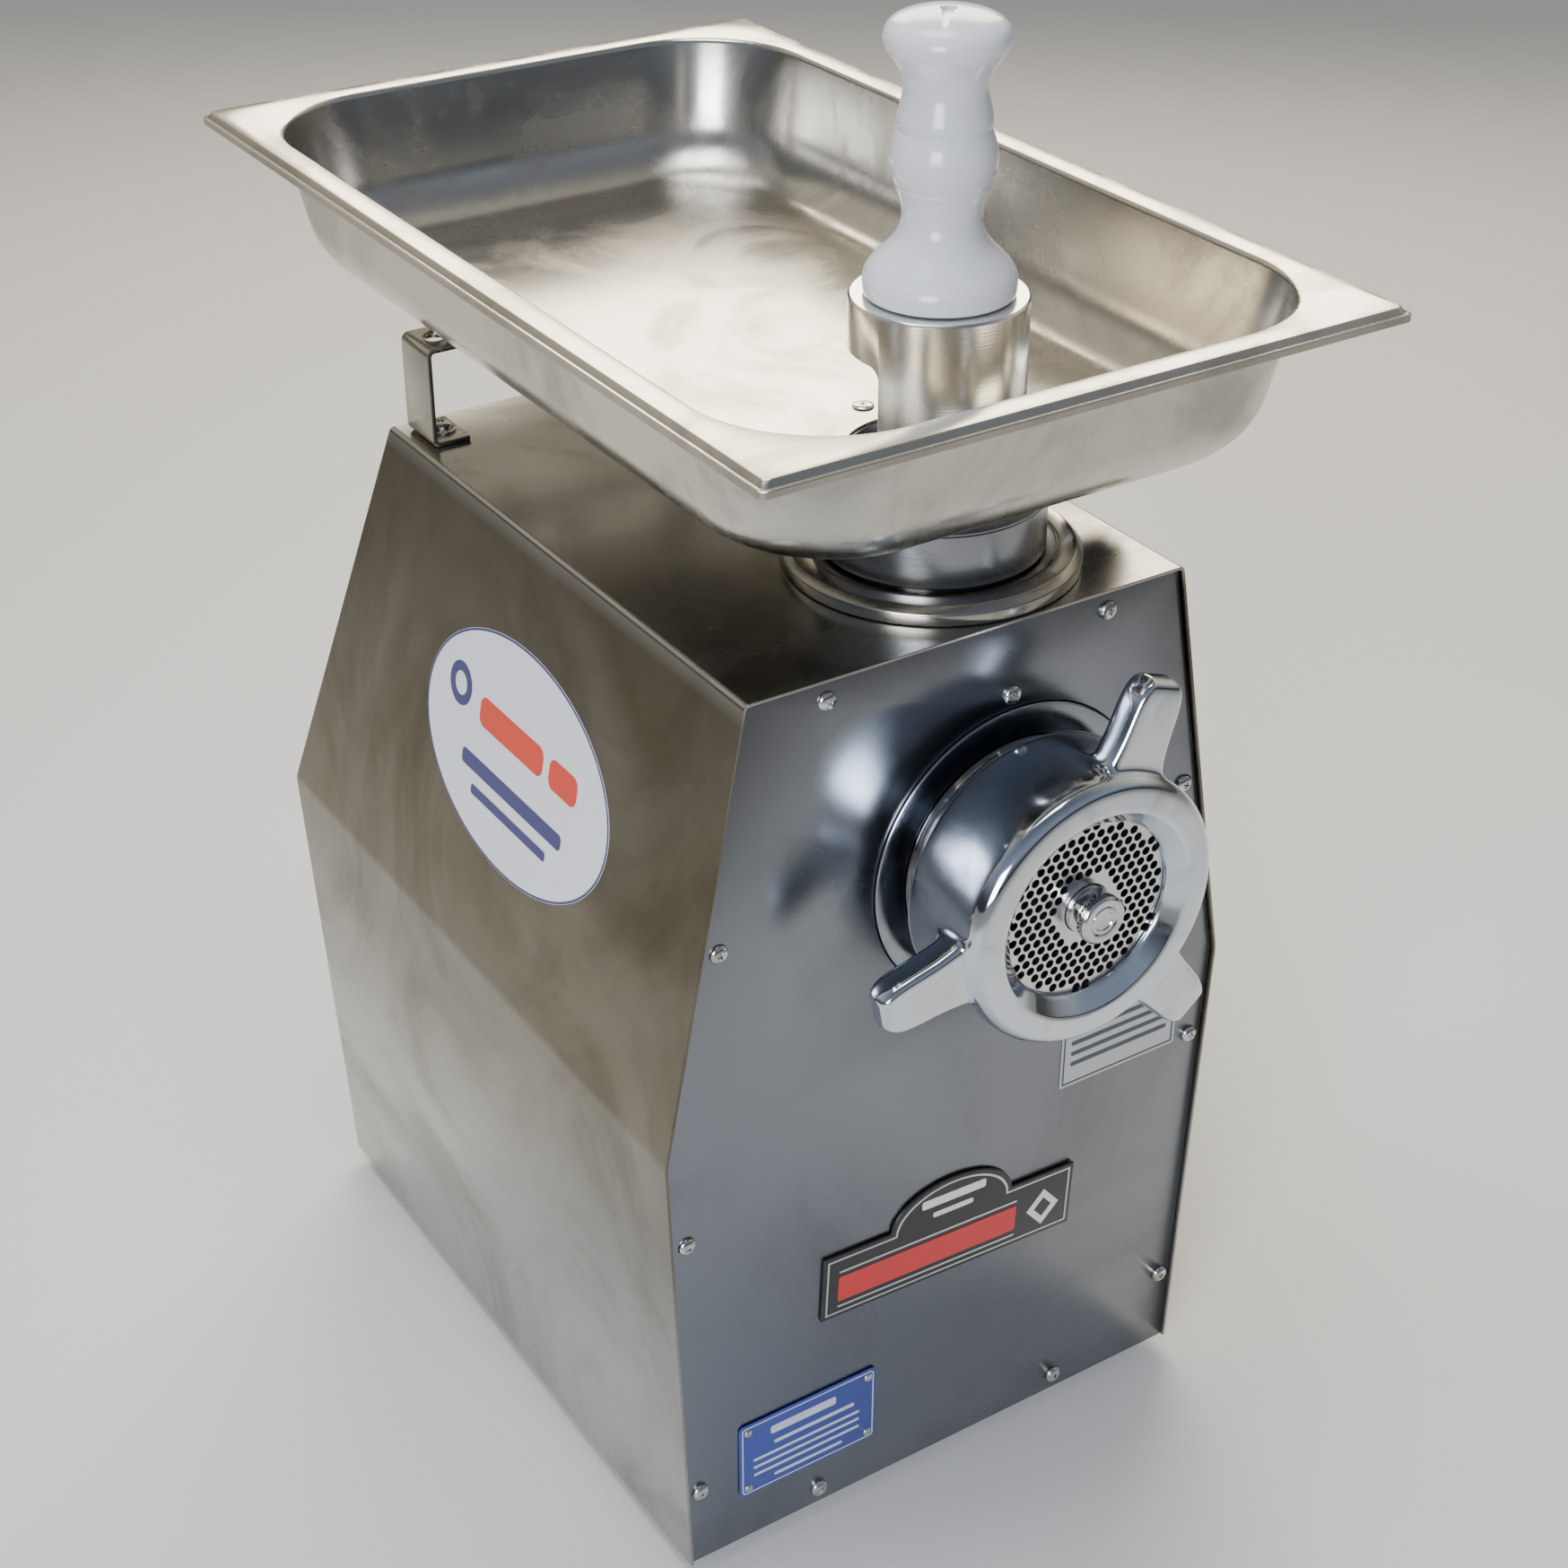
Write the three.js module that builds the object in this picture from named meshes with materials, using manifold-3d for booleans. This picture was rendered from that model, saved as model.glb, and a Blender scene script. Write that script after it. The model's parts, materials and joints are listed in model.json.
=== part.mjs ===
// Countertop meat grinder with a size 32 head: a stainless box on rubber feet, a cast grinding head
// through its front, a gastronorm tray on top and a pusher. Millimetres, +Z up, -Y is the outlet side.
import * as THREE from 'three';
import { mergeVertices } from 'three/addons/utils/BufferGeometryUtils.js';
import Module from 'manifold-3d';

const wasm = await Module();
wasm.setup();

// Housing section: straight sides that lean out to a knee, then in to the top.
const BASE_HALF = 150;
const KNEE_HALF = 158;
const TOP_HALF = 115;
const KNEE_Z = 254;
const TOP_Z = 476;
const BASE_DEPTH = 384;
const KNEE_DEPTH = 396;
const TOP_DEPTH = 328;
const SHEET = 1.5;
const PANEL_INSET = 2;
const FOOT_HEIGHT = 8;
const FOOT_RADIUS = 16;

// Grinding head: horizontal axis of the feed screw, vertical axis of the throat.
const HEAD_X = 26;
const HEAD_Z = 357;
const THROAT_Y = 68.5;
const BARREL_RADIUS = 55;
const BARREL_BORE = 45;
const BARREL_FRONT = -50;
const BARREL_REAR = 126;
const HUB_RADIUS = 73.5;
const THREAD_RADIUS = 56;
const PLATE_RADIUS = 49;
const PLATE_THICKNESS = 10;
const PLATE_FRONT = -54;
const NUT_RADIUS = 66.5;
const NUT_FRONT = -63;
const NUT_REAR = -27;
const LUG_REACH = 107;
const LUG_COUNT = 3;
const SCREW_RADIUS = 43;
const SCREW_FRONT = -33.2;
const SCREW_REAR = 112;
const SCREW_PITCH = 38;
const PIN_RADIUS = 11.7;
const PIN_FRONT = -67;

// Throat, tray and pusher.
const THROAT_RADIUS = 44;
const THROAT_BORE = 36;
const THROAT_TOP = 514;
const COLLAR_RADIUS = 67.4;
const COLLAR_HEIGHT = 9;
const SLEEVE_RADIUS = 50.8;
const PAN_LENGTH = 530;
const PAN_WIDTH = 325;
const PAN_DEPTH = 70;
const PAN_WALL = 1.2;
const PAN_Y = 217.5;
const PAN_BOTTOM = 527;
const PAN_HOLE = 40;
const GUARD_RADIUS = 38.8;
const GUARD_TOP = 600;
const GUARD_RING = 23;
const PUSHER_RADIUS = 25;
const PUSHER_BOTTOM = 408;
const PUSHER_TOP = 719;
const BRIDGE_HALF = 109;
const BRIDGE_Y = 292;
const BRIDGE_WIDTH = 28;
const BRIDGE_MIDDLE = BRIDGE_Y + BRIDGE_WIDTH / 2;
const BOLT_X = BRIDGE_HALF - 11;
const BOLT_RADIUS = 4;

// Drive: motor low in the housing, belt at the rear, spur gears behind the head.
const GEAR_MODULE = 2.5;
const GEAR_TEETH = 51;
const PINION_TEETH = 17;
const CENTRE_DISTANCE = GEAR_MODULE * (GEAR_TEETH + PINION_TEETH) / 2;
const LAYSHAFT_Z = HEAD_Z - CENTRE_DISTANCE;
const MOTOR_Z = 105;
const MOTOR_RADIUS = 80;
const DRIVEN_PULLEY = 82.5;
const MOTOR_PULLEY = 30;
const PULLEY_Y = 316;
const GEARBOX_FRONT = 132;
const GEARBOX_REAR = 186;
const GEAR_FRONT = 148;
const GEAR_WIDTH = 24;
const GAP = 0.3;

// Sides of the round pieces: parts that fit in each other share a count, so their flats line up.
const FINE = 32;
const MEDIUM = 24;
const COARSE = 16;

// The model's origin is the middle of its footprint, on the surface that the feet stand on.
const MIDDLE_X = (HEAD_X + PAN_WIDTH / 2 - KNEE_HALF) / 2;
const MIDDLE_Y = (PAN_Y + PAN_LENGTH / 2 + PIN_FRONT) / 2;

const finish = (color, roughness, metalness) =>
  new THREE.MeshStandardMaterial({ color, roughness, metalness });
const stainless = finish(0x9a9c9b, 0.35, 1);
const polished = finish(0xb9bdc2, 0.12, 1);
const aluminium = finish(0xa9abad, 0.3, 1);
const castIron = finish(0x4c5054, 0.6, 0.6);
const steel = finish(0x8c8f93, 0.4, 1);
const paintedSteel = finish(0x3d4a58, 0.5, 0.2);
const rubber = finish(0x1c1c1d, 0.85, 0);
const blackPlastic = finish(0x17181a, 0.45, 0);
const whitePlastic = finish(0xe9ebf2, 0.25, 0);
const laminations = finish(0x6a6660, 0.5, 0.8);
const bluePlate = finish(0x27408f, 0.4, 0.2);

const grinder = new THREE.Group();
grinder.position.set(-MIDDLE_X, -MIDDLE_Y, FOOT_HEIGHT);

function add(name, geometry, material) {
  const mesh = new THREE.Mesh(geometry, material);
  mesh.name = name;
  grinder.add(mesh);
  return mesh;
}

// Leaves only shared positions, and turns the faces outwards.
function closed(geometry) {
  const bare = geometry.clone();
  bare.deleteAttribute('normal');
  bare.deleteAttribute('uv');
  const merged = mergeVertices(bare, 1e-4);
  const position = merged.attributes.position;
  const index = Array.from(merged.index.array);
  const kept = [];
  const a = new THREE.Vector3();
  const b = new THREE.Vector3();
  const c = new THREE.Vector3();
  let volume = 0;
  for (let i = 0; i < index.length; i += 3) {
    const [p, q, r] = index.slice(i, i + 3);
    if (p === q || q === r || r === p) continue;
    kept.push(p, q, r);
    volume += a.fromBufferAttribute(position, p)
      .dot(b.fromBufferAttribute(position, q).cross(c.fromBufferAttribute(position, r)));
  }
  if (volume < 0) kept.reverse();
  merged.setIndex(kept);
  return merged;
}

function toSolid(geometry) {
  const merged = closed(geometry);
  const vertProperties = new Float32Array(merged.attributes.position.array);
  const triVerts = new Uint32Array(merged.index.array);
  return new wasm.Manifold(new wasm.Mesh({ numProp: 3, vertProperties, triVerts }));
}

function toGeometry(solid) {
  const mesh = solid.getMesh();
  const geometry = new THREE.BufferGeometry();
  geometry.setAttribute('position', new THREE.BufferAttribute(mesh.vertProperties, 3));
  geometry.setIndex(new THREE.BufferAttribute(mesh.triVerts, 1));
  return geometry;
}

const cut = (body, ...tools) =>
  toGeometry(tools.reduce((rest, tool) => rest.subtract(toSolid(tool)), toSolid(body)));
const join = (body, ...others) =>
  toGeometry(others.reduce((sum, other) => sum.add(toSolid(other)), toSolid(body)));
const common = (body, other) => toGeometry(toSolid(body).intersect(toSolid(other)));

// A box between two corners.
function block(low, high) {
  const size = high.map((value, axis) => value - low[axis]);
  const geometry = new THREE.BoxGeometry(...size);
  geometry.translate(low[0] + size[0] / 2, low[1] + size[1] / 2, low[2] + size[2] / 2);
  return geometry;
}

// Turned about the Y axis through (x, z). The profile is a list of [radius, y], in order round the section.
function turned(profile, x, z, segments = MEDIUM) {
  const points = profile.map(([radius, y]) => new THREE.Vector2(radius, y));
  const onAxis = profile[0][0] === 0 && profile.at(-1)[0] === 0;
  if (!onAxis) points.push(points[0].clone());
  const geometry = closed(new THREE.LatheGeometry(points, segments));
  geometry.translate(x, 0, z);
  return geometry;
}

// The same about the vertical axis through (x, y), from a list of [radius, z].
function upright(profile, x, y, segments = MEDIUM) {
  const geometry = turned(profile, 0, 0, segments);
  geometry.rotateX(Math.PI / 2);
  geometry.translate(x, y, 0);
  return geometry;
}

const rod = (radius, y0, y1, x, z, segments) =>
  turned([[0, y0], [radius, y0], [radius, y1], [0, y1]], x, z, segments);
const post = (radius, z0, z1, x, y, segments) =>
  upright([[0, z0], [radius, z0], [radius, z1], [0, z1]], x, y, segments);
const ring = (inner, outer, y0, y1, x, z, segments) =>
  turned([[inner, y0], [outer, y0], [outer, y1], [inner, y1]], x, z, segments);

// An outline in the XZ plane carried from y0 to y1.
function prismY(outline, y0, y1) {
  const shape = new THREE.Shape(outline.map(([x, z]) => new THREE.Vector2(x, z)));
  const geometry = new THREE.ExtrudeGeometry(shape, { depth: y1 - y0, bevelEnabled: false });
  geometry.rotateX(Math.PI / 2);
  geometry.translate(0, y1, 0);
  return closed(geometry);
}

// An outline in the YZ plane carried from x0 to x1.
function prismX(outline, x0, x1) {
  const shape = new THREE.Shape(outline.map(([y, z]) => new THREE.Vector2(y, z)));
  const geometry = new THREE.ExtrudeGeometry(shape, { depth: x1 - x0, bevelEnabled: false });
  geometry.rotateY(Math.PI / 2);
  geometry.rotateX(Math.PI / 2);
  geometry.translate(x0, 0, 0);
  return closed(geometry);
}

// Moves every edge of a convex counter-clockwise outline inwards.
function insetOutline(outline, distance) {
  const edges = outline.map(([x0, z0], i) => {
    const [x1, z1] = outline[(i + 1) % outline.length];
    const length = Math.hypot(x1 - x0, z1 - z0);
    const normal = [-(z1 - z0) / length, (x1 - x0) / length];
    return { normal, offset: normal[0] * x0 + normal[1] * z0 + distance };
  });
  return edges.map((edge, i) => {
    const before = edges[(i + edges.length - 1) % edges.length];
    const det = before.normal[0] * edge.normal[1] - before.normal[1] * edge.normal[0];
    const x = (before.offset * edge.normal[1] - edge.offset * before.normal[1]) / det;
    const z = (edge.offset * before.normal[0] - before.offset * edge.normal[0]) / det;
    return [x, z];
  });
}

// --- Housing -------------------------------------------------------------------------------------------

const section = [
  [BASE_HALF, 0], [KNEE_HALF, KNEE_Z], [TOP_HALF, TOP_Z],
  [-TOP_HALF, TOP_Z], [-KNEE_HALF, KNEE_Z], [-BASE_HALF, 0],
];
const OPEN_BELOW = -20;
const innerSection = (distance) => insetOutline(section, distance);
const lowered = (outline) => outline.map(([x, z]) => [x, z < KNEE_Z / 2 ? OPEN_BELOW : z]);

// Rear edge of the side walls: it leans forward above the knee and slightly below it.
const UPPER_LEAN = (KNEE_DEPTH - TOP_DEPTH) / (TOP_Z - KNEE_Z);
const LOWER_LEAN = (KNEE_DEPTH - BASE_DEPTH) / KNEE_Z;
const rearAt = (z) => KNEE_DEPTH - (z > KNEE_Z ? (z - KNEE_Z) * UPPER_LEAN : (KNEE_Z - z) * LOWER_LEAN);
const behind = (shift) => {
  const line = [TOP_Z + 40, KNEE_Z, OPEN_BELOW - 10].map((z) => [rearAt(z) + shift, z]);
  return prismX([...line, [KNEE_DEPTH + 200, OPEN_BELOW - 10], [KNEE_DEPTH + 200, TOP_Z + 40]], -200, 200);
};
// The rotary switch sits on the right-hand wall, square to it.
const SWITCH_Y = 95;
const SWITCH_Z = 185;
const wallTilt = Math.atan2(KNEE_HALF - BASE_HALF, KNEE_Z);
const wallX = BASE_HALF + (KNEE_HALF - BASE_HALF) * SWITCH_Z / KNEE_Z;
function onSwitchAxis(geometry) {
  geometry.rotateY(wallTilt);
  geometry.translate(wallX, SWITCH_Y, SWITCH_Z);
  return geometry;
}
function dial(profile, segments) {
  const geometry = upright(profile, 0, 0, segments);
  geometry.rotateY(Math.PI / 2);
  return geometry;
}
const switchHole = onSwitchAxis(dial([[0, -20], [11 + GAP, -20], [11 + GAP, 10], [0, 10]], MEDIUM));
const TOP_OPENING = 58;
add('housing_wrap', cut(
  prismY(section, 0, KNEE_DEPTH + 1),
  prismY(lowered(innerSection(SHEET)), -1, KNEE_DEPTH + 2),
  behind(0),
  post(TOP_OPENING, TOP_Z - 20, TOP_Z + 20, HEAD_X, THROAT_Y),
  post(BOLT_RADIUS + GAP, TOP_Z - 20, TOP_Z + 20, -BOLT_X, BRIDGE_MIDDLE, COARSE),
  post(BOLT_RADIUS + GAP, TOP_Z - 20, TOP_Z + 20, BOLT_X, BRIDGE_MIDDLE, COARSE),
  switchHole,
), stainless);

const panelSection = innerSection(SHEET + GAP).map(([x, z]) => [x, Math.max(z, 0)]);
const PANEL_BACK = PANEL_INSET + SHEET;
add('front_panel', cut(
  prismY(panelSection, PANEL_INSET, PANEL_BACK),
  rod(HUB_RADIUS + GAP, 0, 10, HEAD_X, HEAD_Z, FINE),
), stainless);

const VENT_COUNT = 6;
const VENT_HALF = 55;
const VENT_HEIGHT = 5;
const VENT_PITCH = 15;
const VENT_Z = 130;
const GLAND_X = -95;
const GLAND_Z = 60;
const vents = [];
for (let i = 0; i < VENT_COUNT; i++) {
  const z = VENT_Z + i * VENT_PITCH;
  vents.push(block([-VENT_HALF, KNEE_DEPTH - 40, z], [VENT_HALF, KNEE_DEPTH + 10, z + VENT_HEIGHT]));
}
const rearBlank = common(prismY(panelSection, TOP_DEPTH - 60, KNEE_DEPTH + 5), behind(-PANEL_BACK));
const glandHole = rod(10, KNEE_DEPTH - 40, KNEE_DEPTH + 10, GLAND_X, GLAND_Z, COARSE);
add('rear_panel', cut(cut(rearBlank, behind(-PANEL_INSET)), ...vents, glandHole), stainless);

const FLOOR_THICKNESS = 2;
const FLOOR_HALF = BASE_HALF - SHEET - GAP - 0.2;
const FLOOR_FRONT = PANEL_BACK + GAP;
const FLOOR_REAR = BASE_DEPTH - PANEL_BACK - GAP;
add('base_plate', block([-FLOOR_HALF, FLOOR_FRONT, 0], [FLOOR_HALF, FLOOR_REAR, FLOOR_THICKNESS]), steel);

const FOOT_IN_X = 30;
const FOOT_IN_Y = 40;
const FOOT_TAPER = 3;
for (const [side, x] of [['left', FOOT_IN_X - BASE_HALF], ['right', BASE_HALF - FOOT_IN_X]]) {
  for (const [end, y] of [['front', FOOT_IN_Y], ['rear', BASE_DEPTH - FOOT_IN_Y]]) {
    const profile = [
      [0, -FOOT_HEIGHT], [FOOT_RADIUS - FOOT_TAPER, -FOOT_HEIGHT], [FOOT_RADIUS, -GAP], [0, -GAP],
    ];
    add(`foot_${end}_${side}`, upright(profile, x, y, COARSE), rubber);
  }
}

// Strong frame inside: two uprights and a shelf that carries the gearbox and the rear bearing.
const SHELF_Z = 232;
const FRAME_PLATE = 4;
const FRAME_LEFT = HEAD_X - 100;
const FRAME_RIGHT = HEAD_X + 100;
const FRAME_FRONT = 136;
const FRAME_REAR = 296;
const frameBottom = FLOOR_THICKNESS + GAP;
add('chassis_frame', cut(
  block([FRAME_LEFT, FRAME_FRONT, frameBottom], [FRAME_RIGHT, FRAME_REAR, SHELF_Z]),
  block(
    [FRAME_LEFT + FRAME_PLATE, FRAME_FRONT - 5, frameBottom - 5],
    [FRAME_RIGHT - FRAME_PLATE, FRAME_REAR + 5, SHELF_Z - FRAME_PLATE],
  ),
), paintedSteel);

const GLAND_RADIUS = 9.5;
const glandRear = rearAt(GLAND_Z);
add('cable_gland', turned([
  [3.5, glandRear - 14], [GLAND_RADIUS, glandRear - 14], [GLAND_RADIUS, glandRear - 1], [13, glandRear - 1],
  [13, glandRear + 7], [10, glandRear + 15], [3.5, glandRear + 15],
], GLAND_X, GLAND_Z, COARSE), blackPlastic);

// --- Motor and belt ------------------------------------------------------------------------------------

const STATOR_FRONT = 90;
const STATOR_REAR = 255;
const STATOR_BORE = 52;
const SHAFT_RADIUS = 9;
const FIN_COUNT = 16;
const FIN_DEPTH = 6;
const finOutline = [];
for (let i = 0; i < FIN_COUNT; i++) {
  for (const [share, radius] of [[0, 0], [0.3, 0], [0.4, -FIN_DEPTH], [0.9, -FIN_DEPTH]]) {
    const angle = (i + share) / FIN_COUNT * 2 * Math.PI;
    const reach = MOTOR_RADIUS + radius;
    finOutline.push([HEAD_X + reach * Math.cos(angle), MOTOR_Z + reach * Math.sin(angle)]);
  }
}
add('motor_stator', cut(
  prismY(finOutline, STATOR_FRONT, STATOR_REAR),
  rod(STATOR_BORE, STATOR_FRONT - 1, STATOR_REAR + 1, HEAD_X, MOTOR_Z),
), aluminium);

const BEARING_RADIUS = 20;
const BELL_RADIUS = 76;
const BELL_DEPTH = 18;
function motorBell(name, inner, outer) {
  const away = Math.sign(outer - inner);
  const pocket = outer - away * 4;
  add(name, turned([
    [SHAFT_RADIUS + 1, outer], [BELL_RADIUS - 6, outer], [BELL_RADIUS, inner], [STATOR_BORE, inner],
    [STATOR_BORE, inner + away * 2], [BEARING_RADIUS + GAP, inner + away * 2], [BEARING_RADIUS + GAP, pocket],
    [SHAFT_RADIUS + 1, pocket],
  ], HEAD_X, MOTOR_Z, COARSE), aluminium);
  const near = Math.min(inner + away * 3, pocket - away * GAP);
  const far = Math.max(inner + away * 3, pocket - away * GAP);
  const bearing = ring(SHAFT_RADIUS + GAP, BEARING_RADIUS, near, far, HEAD_X, MOTOR_Z, COARSE);
  add(name.replace('bell', 'bearing'), bearing, steel);
}
motorBell('motor_bell_front', STATOR_FRONT - GAP, STATOR_FRONT - GAP - BELL_DEPTH);
motorBell('motor_bell_rear', STATOR_REAR + GAP, STATOR_REAR + GAP + BELL_DEPTH);

const CRADLE_FRONT = 110;
const CRADLE_REAR = 235;
add('motor_cradle', cut(
  block([HEAD_X - 60, CRADLE_FRONT, FLOOR_THICKNESS + GAP], [HEAD_X + 60, CRADLE_REAR, 60]),
  rod(MOTOR_RADIUS + 1, CRADLE_FRONT - 1, CRADLE_REAR + 1, HEAD_X, MOTOR_Z),
), castIron);

const FAN_Y = 52;
const FAN_RADIUS = 62;
const COWL_RADIUS = 74;
const cowl = turned([
  [COWL_RADIUS - 2, 70], [COWL_RADIUS, 70], [COWL_RADIUS, 42], [COWL_RADIUS - 8, 36], [14, 36], [14, 38],
  [COWL_RADIUS - 9, 38], [COWL_RADIUS - 2, 43],
], HEAD_X, MOTOR_Z, COARSE);
const cowlHoles = [];
const COWL_HOLES = 6;
for (let i = 0; i < COWL_HOLES; i++) {
  const angle = i / COWL_HOLES * 2 * Math.PI;
  cowlHoles.push(rod(10, 30, 45, HEAD_X + 40 * Math.cos(angle), MOTOR_Z + 40 * Math.sin(angle), 8));
}
add('fan_cowl', cut(cowl, ...cowlHoles), paintedSteel);

add('rotor_shaft', rod(SHAFT_RADIUS, FAN_Y - 8, PULLEY_Y + 16, HEAD_X, MOTOR_Z, COARSE), steel);
const [coreFront, coreRear] = [STATOR_FRONT + 12, STATOR_REAR - 12];
const rotorCore = ring(SHAFT_RADIUS + GAP, STATOR_BORE - 1, coreFront, coreRear, HEAD_X, MOTOR_Z);
add('rotor_core', rotorCore, laminations);
const BLADE_COUNT = 6;
const blades = [];
for (let i = 0; i < BLADE_COUNT; i++) {
  const blade = block([15, FAN_Y - 6, -1.5], [FAN_RADIUS, FAN_Y + 10, 1.5]);
  blade.rotateY(i / BLADE_COUNT * 2 * Math.PI);
  blade.translate(HEAD_X, 0, MOTOR_Z);
  blades.push(blade);
}
const fanHub = ring(SHAFT_RADIUS + GAP, 18, FAN_Y - 6, FAN_Y + 12, HEAD_X, MOTOR_Z, COARSE);
add('cooling_fan', join(fanHub, ...blades), blackPlastic);

// One V-belt: trapezoid groove on each pulley, and the belt that wraps both.
const BELT_WIDTH = 11;
const BELT_DEPTH = 7;
function pulley(name, radius, z, bore) {
  const rim = radius + 2;
  const half = BELT_WIDTH / 2;
  const root = radius - BELT_DEPTH - 1;
  add(name, turned([
    [bore, PULLEY_Y - 11], [rim, PULLEY_Y - 11], [rim, PULLEY_Y - half - 0.8], [root, PULLEY_Y - half + 1],
    [root, PULLEY_Y + half - 1], [rim, PULLEY_Y + half + 0.8], [rim, PULLEY_Y + 11], [bore, PULLEY_Y + 11],
  ], HEAD_X, z, COARSE), castIron);
}
pulley('driven_pulley', DRIVEN_PULLEY, LAYSHAFT_Z, 12 + GAP);
pulley('motor_pulley', MOTOR_PULLEY, MOTOR_Z, SHAFT_RADIUS + GAP);

// Outline of a band round two circles, one above the other.
function bandOutline(upperRadius, lowerRadius, upperZ, lowerZ, steps) {
  const lean = Math.asin((upperRadius - lowerRadius) / (upperZ - lowerZ));
  const outline = [];
  for (let i = 0; i <= steps; i++) {
    const angle = -lean + (Math.PI + 2 * lean) * i / steps;
    outline.push([HEAD_X + upperRadius * Math.cos(angle), upperZ + upperRadius * Math.sin(angle)]);
  }
  for (let i = 0; i <= steps; i++) {
    const angle = Math.PI + lean + (Math.PI - 2 * lean) * i / steps;
    outline.push([HEAD_X + lowerRadius * Math.cos(angle), lowerZ + lowerRadius * Math.sin(angle)]);
  }
  return outline;
}
const BELT_STEPS = 10;
const beltHalf = BELT_WIDTH / 2 - 1.6;
const beltOutline = (grow) =>
  bandOutline(DRIVEN_PULLEY + grow, MOTOR_PULLEY + grow, LAYSHAFT_Z, MOTOR_Z, BELT_STEPS);
const beltOutside = beltOutline(0.5);
const beltInside = beltOutline(0.5 - BELT_DEPTH);
add('drive_belt', cut(
  prismY(beltOutside, PULLEY_Y - beltHalf, PULLEY_Y + beltHalf),
  prismY(beltInside, PULLEY_Y - beltHalf - 1, PULLEY_Y + beltHalf + 1),
), rubber);

// --- Gearbox -------------------------------------------------------------------------------------------

// Involute spur gear about the Y axis, with a little backlash.
const PRESSURE_ANGLE = Math.PI / 9;
const BACKLASH = 0.25;
function gearOutline(teeth, x, z, turn) {
  const pitch = GEAR_MODULE * teeth / 2;
  const base = pitch * Math.cos(PRESSURE_ANGLE);
  const root = pitch - 1.25 * GEAR_MODULE;
  const tip = pitch + 0.95 * GEAR_MODULE;
  const involute = (radius) => {
    if (radius <= base) return 0;
    const angle = Math.acos(base / radius);
    return Math.tan(angle) - angle;
  };
  const halfTooth = (Math.PI * GEAR_MODULE / 2 - BACKLASH) / 2 / pitch;
  const halfAt = (radius) => halfTooth + involute(pitch) - involute(radius);
  const radii = [root, pitch - 0.3, tip];
  const outline = [];
  for (let i = 0; i < teeth; i++) {
    const middle = turn + i / teeth * 2 * Math.PI;
    const flank = radii.map((radius) => [radius, halfAt(radius)]);
    for (const [radius, half] of flank) {
      outline.push([x + radius * Math.cos(middle - half), z + radius * Math.sin(middle - half)]);
    }
    for (const [radius, half] of flank.reverse()) {
      outline.push([x + radius * Math.cos(middle + half), z + radius * Math.sin(middle + half)]);
    }
  }
  return outline;
}
const OUTPUT_RADIUS = 18;
const LAYSHAFT_RADIUS = 12;
const gearRear = GEAR_FRONT + GEAR_WIDTH;
const halfPitch = Math.PI / GEAR_TEETH;
add('output_gear', cut(
  prismY(gearOutline(GEAR_TEETH, HEAD_X, HEAD_Z, -Math.PI / 2 + halfPitch), GEAR_FRONT, gearRear),
  rod(OUTPUT_RADIUS + GAP, GEAR_FRONT - 1, gearRear + 1, HEAD_X, HEAD_Z),
), steel);
add('pinion_shaft', join(
  rod(LAYSHAFT_RADIUS, GEARBOX_FRONT + 5, PULLEY_Y + 15, HEAD_X, LAYSHAFT_Z, COARSE),
  prismY(gearOutline(PINION_TEETH, HEAD_X, LAYSHAFT_Z, Math.PI / 2), GEAR_FRONT - 2, gearRear + 2),
), steel);

const CASE_WALL = 6;
const gearTip = GEAR_MODULE * GEAR_TEETH / 2 + GEAR_MODULE;
const pinionTip = GEAR_MODULE * PINION_TEETH / 2 + GEAR_MODULE;
const CASE_STEPS = 10;
const caseOutline = (grow) => bandOutline(gearTip + grow, pinionTip + grow, HEAD_Z, LAYSHAFT_Z, CASE_STEPS);
const caseInside = caseOutline(3);
const caseOutside = caseOutline(3 + CASE_WALL);
const COVER_THICKNESS = 12;
const OUTPUT_BEARING = 31;
const LAYSHAFT_BEARING = 23;
const BEARING_WIDTH = 9;
const caseWallRear = GEAR_FRONT - 4;
const shelfTop = SHELF_Z + GAP;
add('gearbox_case', cut(
  join(
    prismY(caseOutside, GEARBOX_FRONT, GEARBOX_REAR - COVER_THICKNESS),
    block(
      [HEAD_X - 45, GEARBOX_FRONT + 6, shelfTop],
      [HEAD_X + 45, GEARBOX_REAR - COVER_THICKNESS, LAYSHAFT_Z - 20],
    ),
  ),
  prismY(caseInside, caseWallRear, GEARBOX_REAR),
  rod(OUTPUT_BEARING + GAP, caseWallRear - BEARING_WIDTH - GAP, GEARBOX_REAR, HEAD_X, HEAD_Z),
  rod(LAYSHAFT_BEARING + GAP, caseWallRear - BEARING_WIDTH + 2, GEARBOX_REAR, HEAD_X, LAYSHAFT_Z),
  rod(OUTPUT_RADIUS + 6, GEARBOX_FRONT - 1, GEARBOX_REAR, HEAD_X, HEAD_Z),
), castIron);
const coverFront = GEARBOX_REAR - COVER_THICKNESS + GAP;
add('gearbox_cover', cut(
  prismY(caseOutside, coverFront, GEARBOX_REAR),
  rod(OUTPUT_BEARING + GAP, coverFront - 1, GEARBOX_REAR - 3, HEAD_X, HEAD_Z),
  rod(LAYSHAFT_BEARING + GAP, coverFront - 1, GEARBOX_REAR - 3, HEAD_X, LAYSHAFT_Z),
  rod(LAYSHAFT_RADIUS + 1, coverFront - 1, GEARBOX_REAR + 1, HEAD_X, LAYSHAFT_Z, COARSE),
), castIron);
const frontBearings = caseWallRear - BEARING_WIDTH;
const rearBearings = GEARBOX_REAR - 3 - GAP;
const outputInner = OUTPUT_RADIUS + GAP;
const layInner = LAYSHAFT_RADIUS + GAP;
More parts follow.
